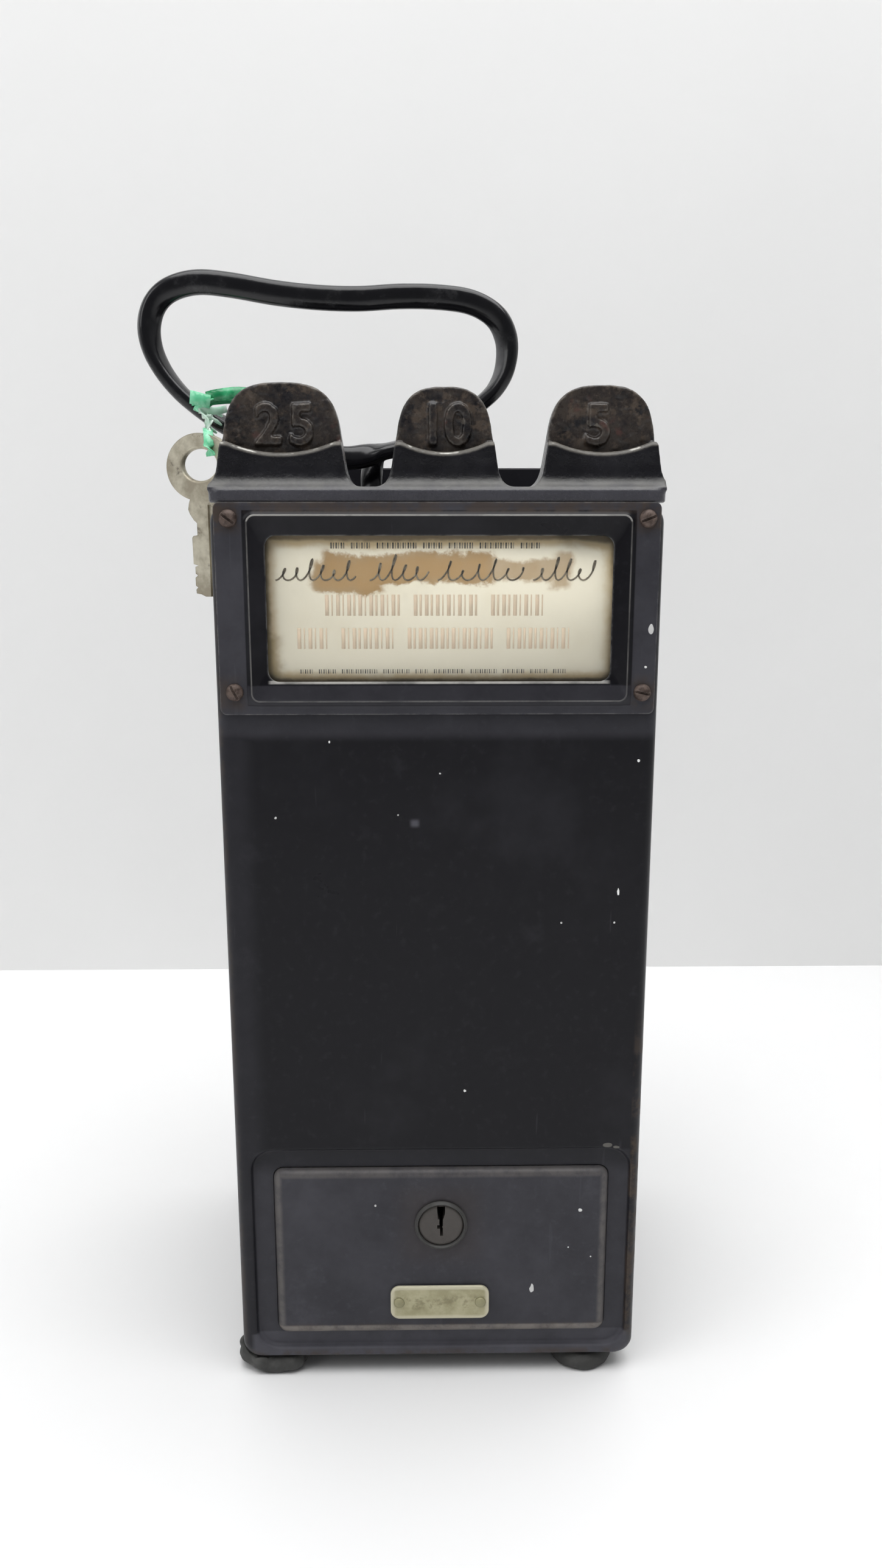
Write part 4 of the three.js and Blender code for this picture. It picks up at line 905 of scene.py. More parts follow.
def door_bare(look):
    """Grey wear along the door's edges, broadest along its foot."""
    v = VAULT
    ragged = look.ramp(look.noise(200, 6, 0.72, seed=16), 0.3, 0.6, 0.3, 1.0)
    foot = look.times(look.in_z(v["bottom"] - 1, v["bottom"] + 2.5, 0.35), 0.8)
    head = look.times(look.in_z(v["top"] - 1.7, v["top"] + 1, 0.5), 0.3)
    left = look.in_x(v["x"] - v["half"] - 1, v["x"] - v["half"] + 1.9, 0.6)
    right = look.in_x(v["x"] + v["half"] - 1.9, v["x"] + v["half"] + 1, 0.6)
    sides = look.times(look.either(left, right), 0.38)
    return look.times(look.either(foot, head, sides), ragged)


LOOKS["enamel"] = enamel("black_enamel", dust_and_sheen_where=casing_dust_and_sheen, brown_where=casing_rust)
LOOKS["plain_enamel"] = enamel("rear_enamel", veil=0.15)
# The window's bare colour also paints the highlights on its ring's crest and lower lip.
LOOKS["frame"] = enamel("window_enamel", veil=0.0, dust=0.12, dust_and_sheen_where=frame_dust,
                        brown_where=frame_rust, bare_and_highlight_where=frame_painted_highlight, bare=(0.40, 0.39, 0.37))
LOOKS["door"] = enamel("door_enamel", dust=0.25, dust_and_sheen_where=door_dust, brown_where=door_rust,
                       bare_and_highlight_where=door_bare)


def dress(piece, look, body, slot, *nodes):
    """Gives a finished piece its material and its body, and hides the CAD nodes that it stands for. The slot
    is not used.
    """
    piece.data.materials.clear()
    piece.data.materials.append(LOOKS[look])
    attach(piece, body)
    if nodes:
        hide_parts(*nodes)
    return piece


# ---------- the cord ----------

def twist_at(place):
    for (a, turn_a), (b, turn_b) in zip(CORD_TWIST, CORD_TWIST[1:]):
        if a <= place <= b:
            t = (place - a) / (b - a)
            return turn_a + (turn_b - turn_a) * t * t * (3 - 2 * t)
    return CORD_TWIST[-1][1]


def make_cord():
    """A flat oval lead swept along its route, its broad side turning as it goes."""
    per, around = 6, 32
    line = smooth_path(CORD_ROUTE, per)
    across = Vector((0, 1, 0))
    rings = []
    for i, (at, along) in enumerate(zip(line, directions(line))):
        deep = (across - along * across.dot(along)).normalized()
        level = along.cross(deep)
        turn = math.radians(twist_at(i / per))
        wide = level * math.cos(turn) + deep * math.sin(turn)
        thin = along.cross(wide)
        ring = []
        for k in range(around):
            angle = 2 * math.pi * k / around
            c, s = math.cos(angle), math.sin(angle)
            reach = (abs(c) ** 2.5 + abs(s) ** 2.5) ** (-1 / 2.5)
            ring.append(at + wide * (c * reach * CORD_WIDE / 2) + thin * (s * reach * CORD_THIN / 2))
        rings.append(ring)
    cord = loft("looped_cord", rings)
    dress(cord, "jacket", "root", "cord_jacket", "cord")
    return cord, [p * MM for p in line]


cord, cord_line = make_cord()
cord_length = sum((b - a).length for a, b in zip(cord_line, cord_line[1:]))


# ---------- casing, back plate and feet ----------

def make_casing():
    c, v, b, w = CASE, VAULT, BUSHING, WINDOW
    whole = about(0, c["half"], c["bottom"], c["top"])
    rings = [at_y(drawn_in(whole, 0, c["corner"]), c["back"])]
    steps, bend = 5, 1.6
    for i in range(steps + 1):
        angle = math.pi / 2 * i / steps
        inset = bend * (1 - math.cos(angle))
        side = c["edge"] * (1 - math.cos(angle))
        y = c["front"] + c["edge"] * (1 - math.sin(angle))
        bent = (-c["half"] + side, c["half"] - side, c["bottom"] + inset, c["top"] - inset)
        rings.append(at_y(rounded_rect(*bent, c["corner"]), y))
    shell = loft("enamelled_casing", rings)
    wall, depth, reach = c["wall"], v["recess"], v["half"] + v["channel"]
    inside = drawn_in(whole, wall, c["corner"] - wall)
    hollow = prism("hollow", inside, c["front"] + depth + wall, c["back"] + 1)

    def recess_ring(grow, deep):
        foot, head = v["bottom"] - v["channel_foot"], v["top"] + v["channel"]
        frame_at = about(v["x"], reach + grow, foot - grow * 0.6, head + grow)
        return at_y(rounded_rect(*frame_at, 5.5 + grow * 0.5, 12), c["front"] + deep)

    recess = loft("recess", [recess_ring(grow, deep) for grow, deep in (
        (0.9, -1), (0.9, -0.02), (0.45, 0.1), (0.15, 0.35), (0, 0.7), (-0.15, depth - 0.35),
        (-0.45, depth - 0.1), (-0.9, depth))])
    through = (c["front"] - 2, c["front"] + 10)
    doorway = drawn_in(about(v["x"], v["half"], v["bottom"], v["top"]), -v["gap"], v["corner"])
    card = rounded_rect(*about(w["x"], w["cut_half"], w["cut_bottom"], w["cut_top"]), 2)
    cut(shell, hollow, recess, prism("doorway", doorway, *through), prism("card_opening", card, *through))
    cordway = about(b["x"], b["way_half_x"], b["y"] - b["way_half_y"], b["y"] + b["way_half_y"])
    cordway = rounded_rect(*cordway, b["way_half_y"] - 0.1)
    cut(shell, loft("cordway", [at_z(cordway, c["top"] - 3), at_z(cordway, c["top"] + 1)]))
    soften(shell, 0.35, 3, 50)
    return dress(shell, "enamel", "root", "black_enamel", "casing")


def make_back_plate():
    b, rim = BACK, 0.35
    screw_hole, wire_hole = 2.6, 5
    whole = about(0, CASE["half"], CASE["bottom"], b["top"])
    plate = loft("rear_plate", [at_y(drawn_in(whole, inset, b["corner"] - inset), y) for inset, y in (
        (rim, b["front"]), (0, b["front"] + rim), (0, b["back"] - rim), (rim, b["back"]))])
    holes = [(x, z, screw_hole, 32) for x in (-32, 32) for z in (42, 196)] + [(0, 120, wire_hole, 40)]
    cut(plate, *[turned("hole", [(radius, b["front"] - 2), (radius, b["back"] + 2)], x, z, count)
                 for x, z, radius, count in holes])
    flanges = []
    for side in (-1, 1):
        outer = side * (CASE["half"] - CASE["wall"] - 0.3)
        x0, x1 = sorted((outer, outer - side * 1.5))
        flanges.append(box("flange", x0, x1, b["front"] - 9, b["front"] + 0.6, 18, 212))
    unite(plate, *flanges)
    soften(plate, 0.25, 2, 45)
    return dress(plate, "plain_enamel", "root", "black_enamel", "back_plate")


def make_foot(name, x, y, radius, lumpy, seed, lobes=()):
    """A rubber foot, domed towards its rim; an old one is swollen and torn."""
    height = CASE["bottom"] - 0.3
    side = [(1.9, 0), (1.2, 0.1), (0.5, 0.6), (0.05, 1.7), (0, 2.5), (0.3, 3.6), (1.0, height - 0.2),
            (1.4, height)]
    profile = [(radius - inset, z) for inset, z in side] + [(2.2, height)]
    foot = turned_up("rubber_" + name, profile, x, y, 64)
    if lobes:
        turns = [math.pi * (k + 0.2) / 12.4 for k in range(13)]
        swollen = []
        for lx, ly, lz, r, tall in lobes:
            bulge = [(r * math.sin(t), lz - r * tall * math.cos(t)) for t in turns]
            swollen.append(turned_up("lobe", bulge, lx, ly, 32))
        foot = remeshed(gather("rubber_" + name, [foot, *swollen]), 0.4, 12, 0.6)
        c = CASE
        body = rounded_rect(-c["half"], c["half"], c["bottom"] - 0.25, 40, c["corner"])
        cut(foot, prism("corner", body, c["front"] + 0.8, c["back"]))
    for vertex in foot.data.vertices:
        at = vertex.co / MM
        if at.z < 0.3:
            vertex.co.z = max(vertex.co.z, 0)
            continue
        out = Vector((at.x - x, at.y - y, 0))
        bump = noise.noise(Vector((at.x * 0.4, at.y * 0.4, at.z * 0.5 + seed)))
        vertex.co += out.normalized() * bump * lumpy * MM
    return dress(foot, "rubber", "root", "rubber", name)


make_casing()
make_back_plate()
make_foot("foot_front_left", -42.4, -35.4, 9.1, 0.7, 3.0,
          [(-44.6, -36.6, 2.7, 8.1, 0.37), (-48.9, -39.6, 4.7, 3.5, 1.3), (-45.8, -40.4, 3.3, 4.2, 0.8),
           (-39.0, -40.2, 2.8, 4.6, 0.66)])
make_foot("foot_front_right", 38, -36.3, 8.3, 0.35, 7.0)
make_foot("foot_rear_left", -39, 34, 8, 0.3, 11.0)
make_foot("foot_rear_right", 39, 34, 8, 0.3, 15.0)


# ---------- coin head ----------

def gauge_front(gauge):
    """Front outline of a gauge: flared foot, tapered sides, round top."""
    x, half, top = gauge["x"], gauge["half"], gauge["top"]
    hip, foot, level = half + 1.3, HEAD["top"] - 1, HEAD["top"]
    flare = HEAD["fillet"]
    left = [(x - hip - flare, foot)]
    left += arc((x - hip - flare, level), (x - hip - 0.6, level + 0.2), (x - hip, level + HEAD["plinth"]), 8)
    left += bezier((x - half - 0.2, HEAD["waist"]), (x - half + 0.6, top - 4.2), (x - half * 0.78, top),
                   (x - 1, top), 20)
    right = [(2 * x - px, pz) for px, pz in reversed(left)]
    return left + right


def gauge_side(top):
    """Side outline, lip in front and ear behind, as (y, z)."""
    h = HEAD
    front, lip, slot, ear, root, level = (h[k] for k in ("front", "lip_front", "slot_back", "ear_back",
                                                         "root_back", "top"))
    out = [(front + 0.7, level - 1)]
    out += arc((front + 0.7, level), (lip - 0.2, level + 0.6), (lip, level + h["plinth"]))
    out += [(lip, h["lip_top"]), (slot, h["lip_top"]), (slot, top + 0.5), (ear, top + 0.5)]
    out += arc((ear + 1.2, level + 9), (ear + 2, level + 1), (root, level))
    out.append((root, level - 1))
    return out


def numeral(text, x, z, size, spread, face, depth):
    """A raised number on an upright face."""
    curve = bpy.data.curves.new("numeral", "FONT")
    curve.body = text
    curve.align_x = "CENTER"
    curve.size = size * MM
    curve.extrude = depth * MM
    curve.offset = 0.3 * MM
    curve.space_character = spread
    maker = link("numeral_maker", curve)
    maker.matrix_world = Matrix.Translation(Vector((x, face, z)) * MM) @ Matrix.Rotation(math.pi / 2, 4, "X")
    made = finished_mesh(maker)
    made.transform(maker.matrix_world)
    bpy.data.objects.remove(maker)
    return link("numeral", made)


def coin_slot(gauge, z0, z1):
    half = gauge["slot"] / 2
    return box("slot", gauge["x"] - half, gauge["x"] + half, HEAD["slot_front"], HEAD["slot_back"], z0, z1)


def make_gauge(gauge):
    h = HEAD
    x, half, lip, lip_top = gauge["x"], gauge["half"], h["lip_front"], h["lip_top"]
    reach = half + 8

    def across(name, outline):
        return loft(name, [at_x(outline, px) for px in (x - reach, x + reach)])

    tower = prism("gauge", gauge_front(gauge), h["front"], h["root_back"])
    bounds = box("bounds", -CASE["half"], CASE["half"], h["front"] - 1, h["back"], h["bottom"],
                 gauge["top"] + 2)
    combine(tower, [across("side", gauge_side(gauge["top"])), bounds], "INTERSECT")
    span, sag, soft = half - h["shoulder"], gauge["sag"], 1.25
    radius = (span * span + sag * sag) / (2 * sag)
    turns = [math.pi / 2 * i / 6 for i in range(7)]
    rolled = [(lip + soft * (1 - math.sin(t)), soft * (1 - math.cos(t))) for t in turns][::-1]
    profile = [(radius + soft, lip - 2)] + [(radius + drop, y) for y, drop in rolled]
    dip = turned("dip", profile + [(radius, h["slot_front"] + 1)], x, lip_top - sag + radius, 160)
    edge = [(lip - 2, lip_top + 2), (lip - 2, lip_top - soft)]
    edge += [(y, lip_top - drop) for y, drop in rolled] + [(lip + soft, lip_top + 2)]
    return cut(tower, coin_slot(gauge, h["bottom"] - 1, lip_top + 1), dip, across("shoulder", edge))


def make_coin_head():
    h = HEAD
    low, high = h["bottom"], h["top"]
    plan = about(0, CASE["half"], h["front"], h["back"])
    ledge = loft("ledge", [at_z(drawn_in(plan, inset, CASE["edge"] - inset), z) for inset, z in (
        (0.3, low), (0, low + 0.3), (0, high - 0.8), (0.8, high))])
    cut(ledge, *[coin_slot(g, low - 1, high + 1) for g in GAUGES])
    cut(ledge, *[turned_up("hole", [(1.8, low - 1), (1.8, high + 1)], x, 0, 24) for x in HEAD_SCREWS])
    towers = [make_gauge(g) for g in GAUGES]
    level, size, face, depth = 234.6, 12.2, h["slot_back"] + 0.1, 1.0
    marks = [numeral(g["coin"], g["mark"], level, size, g["spread"], face, depth) for g in GAUGES]
    head = gather("cast_coin_head", [ledge, *towers, *marks])
    remeshed(head, 0.34, 5)
    for vertex in head.data.vertices:
        at = vertex.co / MM
        if at.z > 229 and -39.8 < at.y < -36:
            rough = noise.noise(at * 0.55) * 0.2 + noise.noise(at * 1.3) * 0.14
            slip = noise.noise(at * 0.5 + Vector((7, 3, 5)))
            vertex.co += Vector((slip * 0.1, rough, slip * 0.05)) * MM
    return dress(head, "casting", "root", "worn_casting", "coin_head")


make_coin_head()


# ---------- window ----------

def make_window_frame():
    """A pressed plate whose raised rim slopes in to the card."""
    w = WINDOW
    outside = about(0, w["plate_half"], w["plate_bottom"], w["plate_top"])
    rim = about(w["x"], w["ring_half"], w["ring_bottom"], w["ring_top"])
    hole = about(w["x"], w["open_half"], w["open_bottom"], w["open_top"])
    back, face, crest = w["plate_back"], w["plate_back"] - w["plate"], w["crest"]
    rings = [
        (outside, 0, 1.5, back), (outside, 0, 1.5, face + 0.12), (outside, 0.12, 1.4, face),
        (rim, -1.7, 3.0, face), (rim, -1.0, 2.6, face - 0.12), (rim, -0.5, 2.3, face - 0.35),
        (rim, -0.12, 2.0, crest + 0.2), (rim, 0, 1.9, crest + 0.05), (rim, 0.12, 1.8, crest),
        (rim, 0.3, 1.7, crest + 0.04), (rim, 0.9, 1.6, crest + 0.35), (hole, -1.5, 2.4, crest + 1.0),
        (hole, -0.6, 2.6, crest + 1.3), (hole, -0.15, 2.5, crest + 1.45), (hole, 0, 2.4, crest + 1.65),
        (hole, 0, 2.4, back - 0.05), (hole, -0.1, 2.5, back),
    ]
    made = loft("pressed_window_frame", [at_y(drawn_in(*ring), y) for *ring, y in rings], closed=True)
    soften(made, 0.08, 2, 55)
    return dress(made, "frame", "root", "black_enamel", "window_frame")


def behind_opening():
    """The frame of the card and the pane, which reach a little past the window's opening."""
    w, grow = WINDOW, 1.1
    x0, x1, z0, z1 = about(w["x"], w["open_half"], w["open_bottom"], w["open_top"])
    return x0 - grow, x1 + grow, z0 - grow, z1 + grow


def make_card():
    y = CASE["front"] + 1.1
    card = prism("aged_number_card", rounded_rect(*behind_opening(), 1), y, y + 0.3)
    return dress(card, "paper", "root", "card_stock", "number_card")


def strip(points, half, y, thick):
    """A flat stroke on the card through (x, z) points."""
    line = [Vector((px, pz)) for px, pz in points]
    last = len(line) - 1
    rings = []
    for i, at in enumerate(line):
        along = (line[min(i + 1, last)] - line[max(i - 1, 0)]).normalized()
        side = Vector((-along.y, along.x)) * half
        a, b = at + side, at - side
        rings.append([(a.x, y, a.y), (b.x, y, b.y), (b.x, y + thick, b.y), (a.x, y + thick, a.y)])
    return loft("stroke", rings)


def print_marks(rng, x0, x1, z, height, pitch, half, y):
    """A faded line of print with no letters in it: groups of plain uprights, thick and thin by turns."""
    out, x, left = [], x0, rng.randint(3, 7)
    while x < x1:
        if left:
            out.append(strip([(x, z), (x, z + height)], half, y, 0.02))
            right = x + pitch * 0.46
            out.append(strip([(right, z), (right, z + height)], half * rng.choice((0.35, 0.6)), y, 0.02))
            left -= 1
        else:
            left = rng.randint(3, 8)
        x += pitch
    return out


def pen_marks(rng, x0, x1, z, height, y):
    """A hand-drawn line in four goes: loops that grow, shrink and lean, but form no letters."""
    out, x = [], x0
    while x < x1:
        end = min(x + rng.uniform(10, 20), x1)
        tall, pitch, points, t = rng.uniform(0.85, 1.1) * height, rng.uniform(2.6, 3.4), [], 0.0
        while x + t * pitch < end:
            swell = 0.5 + 0.5 * math.cos(2 * math.pi * t)
            lift = tall * (1 - swell) * (0.72 + 0.28 * math.cos(1.9 * t + x))
            points.append((x + t * pitch + 0.3 * lift + 0.75 * math.sin(2 * math.pi * t), z + lift))
            t += 1 / 14
        out.append(strip(points, 0.19, y, 0.02))
        x = end + rng.uniform(2.2, 4)
    return out


def make_card_marks():
    """What a card would carry, with no words: uprights for print, and pen loops for writing."""
    y = CASE["front"] + 1.06
    rng = random.Random(31)
    lines = print_marks(rng, -23.8, 22.4, 211.8, 1.3, 1.15, 0.17, y)
    lines += print_marks(rng, -31.2, 29.6, 183.8, 0.95, 1.05, 0.12, y)
    faded = print_marks(rng, -25, 23.4, 196.9, 4.7, 2.5, 0.42, y)
    faded += print_marks(rng, -31.4, 29.6, 189.4, 4.7, 2.5, 0.42, y)
    pen = pen_marks(rng, -36.4, 35, 204.8, 5.3, y - 0.015)
    for name, marks, look in (("card_print", lines, "print"), ("card_faded_print", faded, "ghost"),
                              ("card_pencil", pen, "pencil")):
        dress(gather(name, marks), look, "root", "card_stock")


def make_pane():
    y, thick, bevel = CASE["front"] + 0.1, 0.7, 0.15
    rings = ((bevel, y), (0, y + bevel), (0, y + thick - bevel), (bevel, y + thick))
    pane = loft("clear_window_pane", [at_y(drawn_in(behind_opening(), inset, 1.2 - inset), at)
                                      for inset, at in rings])
    return dress(pane, "pane", "root", "clear_pane", "window_pane")


def make_screw(name, radius, height, shank, length, slot, place, axis, angle):
    """A slotted round-head screw whose head faces -Y before the screw is turned about the axis."""
    dome = [(0.12, 1), (0.4, 0.97), (0.66, 0.84), (0.86, 0.58), (0.97, 0.28)]
    profile = [(radius * out, -height * up) for out, up in dome]
    profile += [(radius, -0.12), (radius * 0.98, 0), (shank, 0), (shank, length)]
    screw = turned("slotted_" + name, profile, 0, 0, 40)
    cut(screw, box("slot", -radius - 1, radius + 1, -height - 1, -height * 0.45, -slot / 2, slot / 2))
    screw.data.transform(Matrix.Translation(Vector(place) * MM) @ Matrix.Rotation(angle, 4, axis))
    soften(screw, 0.08, 2, 40)
    return dress(screw, "screw", "root", "rusty_steel", name)


def make_screws():
    seat = WINDOW["plate_back"] - WINDOW["plate"] - 0.05
    corners = ((-46.2, 218.3, 35), (46.6, 218.3, -20), (-46.1, 179.8, 62), (46.6, 179.6, 12))
    for i, (x, z, turn) in enumerate(corners, 1):
        make_screw(f"frame_screw_{i}", 2, 1.3, 1, 3.6, 0.6, (x, seat, z), "Y", math.radians(turn))
    for i, x in enumerate(HEAD_SCREWS, 1):
        make_screw(f"head_screw_{i}", 3, 1.6, 1, 6.6, 0.8, (x, 0, HEAD["top"] + 0.1), "X", -math.pi / 2)
    spots = [(z, side) for z in (200, 30) for side in (-1, 1)]
    for i, (z, side) in enumerate(spots, 1):
        make_screw(f"side_screw_{i}", 2.8, 1.4, 1.4, 4.6, 0.8, (side * (CASE["half"] + 0.1), 40, z), "Z",
                   side * math.pi / 2)


make_window_frame()
make_card()
make_card_marks()
make_pane()
make_screws()


# ---------- vault door, lock and plate ----------

def make_door():
    v = VAULT
    whole = about(v["x"], v["half"], v["bottom"], v["top"])
    rings = [(0.25, 2.2, v["back"]), (0, 2.4, v["back"] - 0.25)]
    round_by, steps = 1.9, 7
    for i in range(steps + 1):
        angle = math.pi / 2 * i / steps
        bend = 1 - math.cos(angle)
        rings.append((round_by * bend, 2.4 + 0.6 * bend, v["front"] + round_by * (1 - math.sin(angle))))
    door = loft("vault_door_panel", [at_y(drawn_in(whole, inset, radius), y) for inset, radius, y in rings])
    cut(door, turned("bore", [(6.5, v["front"] - 2), (6.5, v["back"] + 2)], LOCK["x"], LOCK["z"], 64))
    soften(door, 0.12, 2, 50)
    return dress(door, "door", "vault_drawer", "black_enamel", "vault_door")


def make_lock():
    k = LOCK
    x, z, front = k["x"], k["z"], k["front"]
    ring_back = VAULT["front"] - 0.3
    barrel = [(k["bore"], front + 0.6), (k["bore"] + 0.2, front + 0.15), (k["bore"] + 0.4, front),
              (k["ring"] - 0.55, front + 0.05), (k["ring"] - 0.2, front + 0.25), (k["ring"], front + 0.7),
              (k["ring"], ring_back), (6.2, ring_back), (6.2, -27), (k["bore"], -27)]
    rings = [at_y(circle(x, z, radius, 72), y) for radius, y in barrel]
    ring = loft("lock_ring", rings, closed=True)
    dress(ring, "lock", "vault_drawer", "steel", "lock_barrel")
    face = k["plug_front"]
    profile = [(0.4, face + 0.25), (2.4, face + 0.22), (4.2, face + 0.12), (4.6, face - 0.02), (5.1, face),
               (5.45, face + 0.1), (k["plug"], face + 0.35), (k["plug"], -26)]
    plug = turned("lock_core_plug", profile, x, z, 72)
    deep = face + 13
    mouth = [(x - 1.05, z + 5.3), (x - 0.75, z + 1.6), (x + 0.6, z + 1.6), (x + 1.05, z + 3.2),
             (x + 1.05, z + 5.3)]
    wards = [(-0.4, 0.5, -0.4, 1.7), (-0.95, 0.35, -1.1, -0.1), (-0.25, 0.5, -3.1, -0.8)]
    cut(plug, prism("keyway", mouth[::-1], face - 1, deep),
        *[box("keyway", x + x0, x + x1, face - 1, deep, z + z0, z + z1) for x0, x1, z0, z1 in wards],
        turned("cam_hole", [(1.3, -32), (1.3, -25)], x, z, 24))
    soften(plug, 0.1, 2, 40)
    return dress(plug, "plug", "lock_core", "brass", "lock_plug")


def make_number_plate():
    p = PLATE
    back = VAULT["front"] - 0.3
    front = back - p["thick"]
    whole = about(p["x"], p["half"], p["z"] - p["half_height"], p["z"] + p["half_height"])
    rings = ((0, back), (0, front + 0.3), (0.08, front + 0.1), (0.3, front), (0.75, front),
             (1.0, front + 0.14), (1.3, front + 0.16))
    plate = loft("blank_number_plate", [at_y(drawn_in(whole, inset, p["corner"] - inset * 0.5), y)
                                        for inset, y in rings])
    soften(plate, 0.05, 2, 50)
    dress(plate, "plate", "vault_drawer", "plate_metal", "number_plate")
    dome = [(0.15, -0.62), (0.6, -0.58), (1.0, -0.42), (1.3, -0.18), (1.4, -0.02), (1.4, 0.1), (0.6, 0.12)]
    profile = [(radius, front + y) for radius, y in dome] + [(0.6, VAULT["back"])]
    for side, name in ((-1, "plate_rivet_left"), (1, "plate_rivet_right")):
        rivet = turned("domed_" + name, profile, p["x"] + side * p["rivet_x"], p["z"], 32)
        dress(rivet, "rivet", "vault_drawer", "plate_metal", name)


make_door()
make_lock()
make_number_plate()


# ---------- key and tie ----------

def key_outline():
    """The key's outline as (x, z) points before it is turned about the upright."""
    right = [(4.8, 225.2), (5.2, 223.6), (6.2, 221.0), (6.2, 220.2), (5.5, 218.8), (4.8, 217.5), (4.8, 199.9),
             (4.4, 198.6), (3.2, 197.95), (0.6, 197.9)]
    left = [(-0.8, 198.5), (-2.3, 198.7), (-2.4, 199.7), (-1.8, 200.3), (-2.5, 200.8), (-2.5, 202.9),
            (-1.7, 203.5), (-2.4, 204.0), (-2.4, 205.8), (-1.4, 206.1), (-2.9, 206.5), (-3.0, 213.4),
            (-2.6, 213.9), (-1.3, 214.1), (-1.3, 217.3), (-2.2, 218.0), (-3.4, 219.6), (-3.9, 220.8),
            (-3.6, 222.3), (-3.2, 223.4), (-3.4, 225.2)]
    return right + left


def make_key():
    k = KEY
    half = k["thick"] / 2
    bow = prism("bow", oval(0, k["bow_z"], *k["bow"], 72), -half, half)
    unite(bow, prism("stem", key_outline(), -half * 0.98, half * 0.98))
    worn = ((0.9, half + 0.3), (0.75, half + 0.02), (0.35, half - 0.2), (0.1, half - 0.5), (0, half - 0.9))
    worn = [(grow, -at) for grow, at in worn] + list(reversed(worn))
    wide, tall = k["hole"]
    hole = loft("hole", [at_y(oval(0, k["hole_z"], wide + grow, tall + grow, 56), y) for grow, y in worn])
    cut(bow, hole, box("groove", 2.3, 3.4, -half - 1, -half + 0.6, 197, 222),
        box("groove", 0.3, 1.2, half - 0.6, half + 1, 197, 220))
    bow.name = "flat_key"
    turn = Matrix.Rotation(math.radians(k["yaw"]), 4, "Z")
    bow.data.transform(Matrix.Translation(Vector((k["x"], k["y"], 0)) * MM) @ turn)
    soften(bow, 0.3, 3, 62)
    return dress(bow, "key", "hanging_key", "key_metal", "key")


def ribbon(points, width, thick, turns=0.0, start=0.0, flare=1.0):
    """A thin strip along a smooth path, turned about it as it goes."""
    line = smooth_path(points, 6)
    last = len(line) - 1
    rings = []
    up = Vector((0, 0, 1))
    for i, (at, along) in enumerate(zip(line, directions(line))):
        side = along.cross(up)
        side = side.normalized() if side.length > 0.05 else Vector((1, 0, 0))
        normal = side.cross(along).normalized()
        angle = start + 2 * math.pi * turns * i / last
        wide = side * math.cos(angle) + normal * math.sin(angle)
        deep = along.cross(wide)
        half = width / 2 * (1 + (flare - 1) * max(0, i / last - 0.6) / 0.4)
        wave = 0.25 * math.sin(i * 1.7)
        more, even, less = (deep * depth for depth in (thick / 2 + wave * 0.3, thick / 2,
                                                       thick / 2 - wave * 0.3))
        left, right = at + wide * half, at - wide * half
        rings.append([left + more, at + even, right + less, right - more, at - even, left - less])
    return loft("strip", rings)


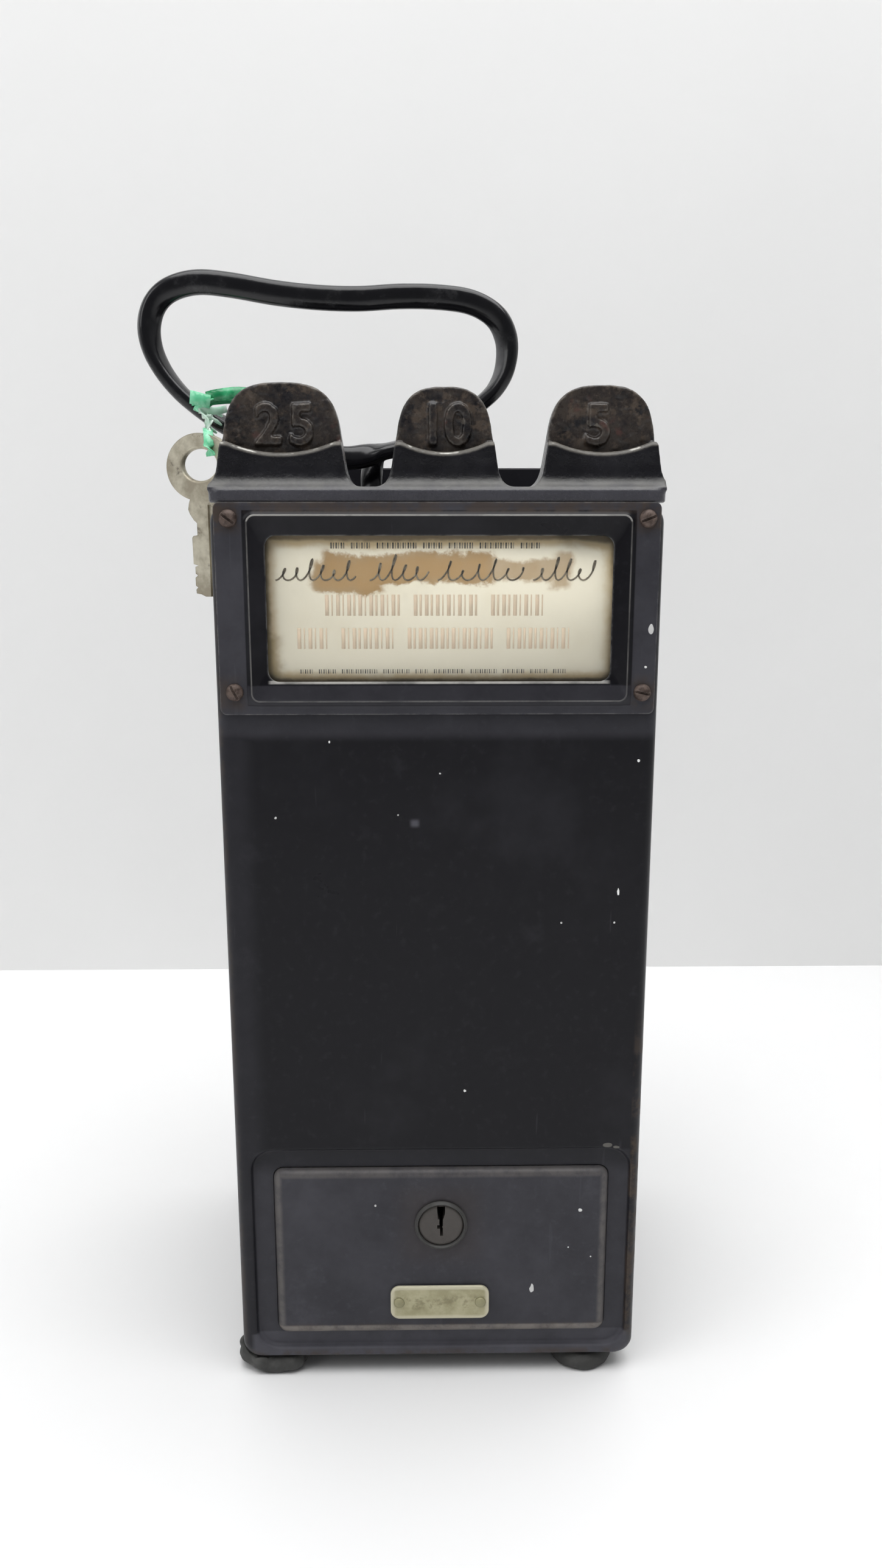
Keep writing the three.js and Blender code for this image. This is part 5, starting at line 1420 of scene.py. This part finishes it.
def make_tie():
    """A plastic strip knotted on the cord: a band to the right, pale folds below it, and a flared end."""
    knot = []
    for shift, radius, wide in ((-0.9, 2.6, 2.6), (0.8, 2.9, 2.8)):
        points = []
        for i in range(13):
            angle = 2 * math.pi * i / 12
            across, deep = radius * math.cos(angle), radius * 1.35 * math.sin(angle)
            slip = shift + 0.35 * i / 12
            points.append((-61.2 + across * 0.72 + slip * 0.35, 17.4 + deep,
                           248.6 + across * 0.5 - slip * 0.95))
        knot.append(ribbon(points, wide, 0.4, start=0.25 + shift * 0.3))
    front = [(-64.2, 12.8, 249.6), (-62.6, 12.2, 249.2), (-60.8, 12.2, 248.7), (-59.0, 12.8, 248.4)]
    knot.append(ribbon(front, 3.4, 0.35, start=1.45))
    flare = ribbon([(-60.0, 13.0, 241.6), (-59.4, 9.8, 240.2), (-59.1, 8.4, 238.4), (-59.0, 8.0, 236.4),
                    (-58.6, 8.2, 234.4)], 2.5, 0.35, start=0.1, flare=1.85)
    knotted = dress(gather("tie_knot", knot + [flare]), "tie", "root", "tie_plastic", "key_tie")
    band = ribbon([(-60.2, 14.6, 249.6), (-58.0, 14.2, 250.1), (-55.2, 14.0, 250.5), (-52.2, 14.2, 250.8),
                    (-48.6, 14.6, 250.6), (-46.6, 15.8, 250.2), (-48.4, 17.2, 249.9), (-53, 17.6, 249.9),
                    (-58, 17.4, 249.6), (-60.6, 17.2, 249.2)], 3.0, 0.3, start=1.62)
    banded = dress(gather("tie_band", [band]), "tie_dark", "root", "tie_plastic")
    folds = [
        ribbon([(-62.4, 14.0, 246.5), (-60, 13.6, 246.3), (-57.4, 13.8, 246.2), (-55.0, 14.6, 246.8)],
               1.9, 0.25, start=1.3),
        ribbon([(-61.0, 14.8, 246.8), (-60.7, 13.4, 244.9), (-60.0, 12.8, 242.9), (-59.8, 12.4, 240.9),
                (-59.4, 10.6, 239.4)], 2.5, 0.4, turns=0.35, start=0.2),
        ribbon([(-59.6, 14.4, 245.6), (-59.2, 13.2, 243.8), (-59.3, 12.6, 241.9), (-59.7, 12.0, 240.2)],
               1.8, 0.35, turns=-0.5, start=0.8),
        ribbon([(-61.4, 13.4, 244.8), (-60.2, 12.6, 244.5), (-58.8, 12.8, 244.7)], 1.1, 0.3, start=1.2),
    ]
    leaves = [((-59.2, 13.0, 244.4), (-57.8, 13.2, 243.6), (-56.4, 14.0, 242.6)),
              ((-59.6, 12.6, 242.0), (-58.6, 12.6, 241.2), (-57.6, 13.0, 240.5)),
              ((-59.9, 12.6, 240.9), (-59.0, 12.4, 240.1), (-58.0, 12.8, 239.4)),
              ((-58.4, 14.2, 246.0), (-57.2, 14.2, 245.5), (-56.2, 14.6, 244.8))]
    folds += [ribbon(points, 0.95, 0.25, start=1.1, flare=0.35) for points in leaves]
    return [knotted, banded, dress(gather("tie_folds", folds), "tie_pale", "root", "tie_plastic")]


def make_bushing():
    """The oval rubber bushing that both ends of the cord go through."""
    b = BUSHING
    low, neck, top = CASE["top"] + 0.3, b["neck"], b["top"]
    plan = about(b["x"], b["half_x"], b["y"] - b["half_y"], b["y"] + b["half_y"])
    rings = ((neck, b["bottom"]), (neck, low), (0.2, low), (0, low + 0.3), (0, top - 1.1), (0.35, top - 0.4),
             (1.0, top))
    body = loft("cord_grommet", [at_z(drawn_in(plan, inset, b["half_y"] - 0.1 - inset, 12), z)
                                 for inset, z in rings])
    for at in b["holes"]:
        cut(body, turned_up("hole", [(b["hole"], b["bottom"] - 2), (b["hole"], top + 2)], at, b["y"], 32))
    soften(body, 0.3, 2, 40)
    return dress(body, "rubber", "root", "rubber", "cord_bushing")


make_key()
ties = make_tie()
make_bushing()


# ---------- dried paint specks ----------

def make_specks(name, body, face, spots, look="speck"):
    """Small flattened drops on an upright face, as (x, z, radius, stretch down)."""
    drops = []
    for i, (x, z, radius, stretch) in enumerate(spots):
        rng = random.Random(i)
        waves = [(k, rng.uniform(-0.1, 0.1), rng.uniform(0, 6.3)) for k in (2, 3, 5)]
        rings = []
        tall = min(0.1, 0.05 / radius)
        for share, lift in ((1.0, 0.0), (0.85, 0.5 * tall), (0.5, 0.9 * tall), (0.15, tall)):
            ring = []
            for k in range(18):
                angle = 2 * math.pi * k / 18
                reach = radius * share * (1 + sum(size * math.sin(n * angle + at) for n, size, at in waves))
                narrow = 1 - 0.3 * max(0, math.sin(angle)) * (stretch > 1.5)
                ring.append((x + reach * narrow * math.cos(angle), face - lift,
                             z + reach * stretch * math.sin(angle)))
            rings.append(ring)
        drops.append(loft("drop", rings))
    return dress(gather(name, drops), look, body, "black_enamel")


FRAME_FACE = WINDOW["plate_back"] - WINDOW["plate"]
make_specks("paint_specks_casing", "root", CASE["front"] + 0.01, [
    (-25, 168.1, 0.24, 1.2), (0.5, 160.6, 0.22, 1), (-37.9, 150.1, 0.3, 1), (-9.3, 150.7, 0.2, 1),
    (42.9, 131.7, 0.3, 3), (29.5, 124, 0.25, 1), (42.2, 124, 0.25, 1), (46.6, 163.5, 0.35, 1),
    (6.6, 80.5, 0.35, 1)])
make_specks("paint_specks_frame", "root", FRAME_FACE + 0.01, [
    (48.1, 194.0, 0.72, 1.6), (47.2, 185.4, 0.3, 1)])
make_specks("paint_specks_door", "vault_drawer", VAULT["front"] + 0.01, [
    (-15.8, 49.5, 0.3, 1), (35.9, 47.8, 0.5, 1), (24, 25.6, 0.6, 2.1), (33.1, 37.3, 0.2, 1),
    (38.9, 34.6, 0.22, 1)])
make_specks("paint_chip", "root", CASE["front"] + 0.01, [(42.4, 65.5, 1.4, 0.42), (44.6, 64.9, 0.8, 0.5)],
            "chip")


# ---------- CAD nodes that stay ----------

SLOT_LOOKS = {"steel": "steel", "brass": "brass", "rusty_steel": "screw", "rubber": "rubber",
              "black_enamel": "plain_enamel", "key_metal": "key", "plate_metal": "plate"}
for row in frame["record"]["subparts"]:
    node = frame["nodes"][row["node"]]
    if not node.hide_render:
        node.data.materials.clear()
        node.data.materials.append(LOOKS[SLOT_LOOKS[row["material_slot"]]])

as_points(cord_line)
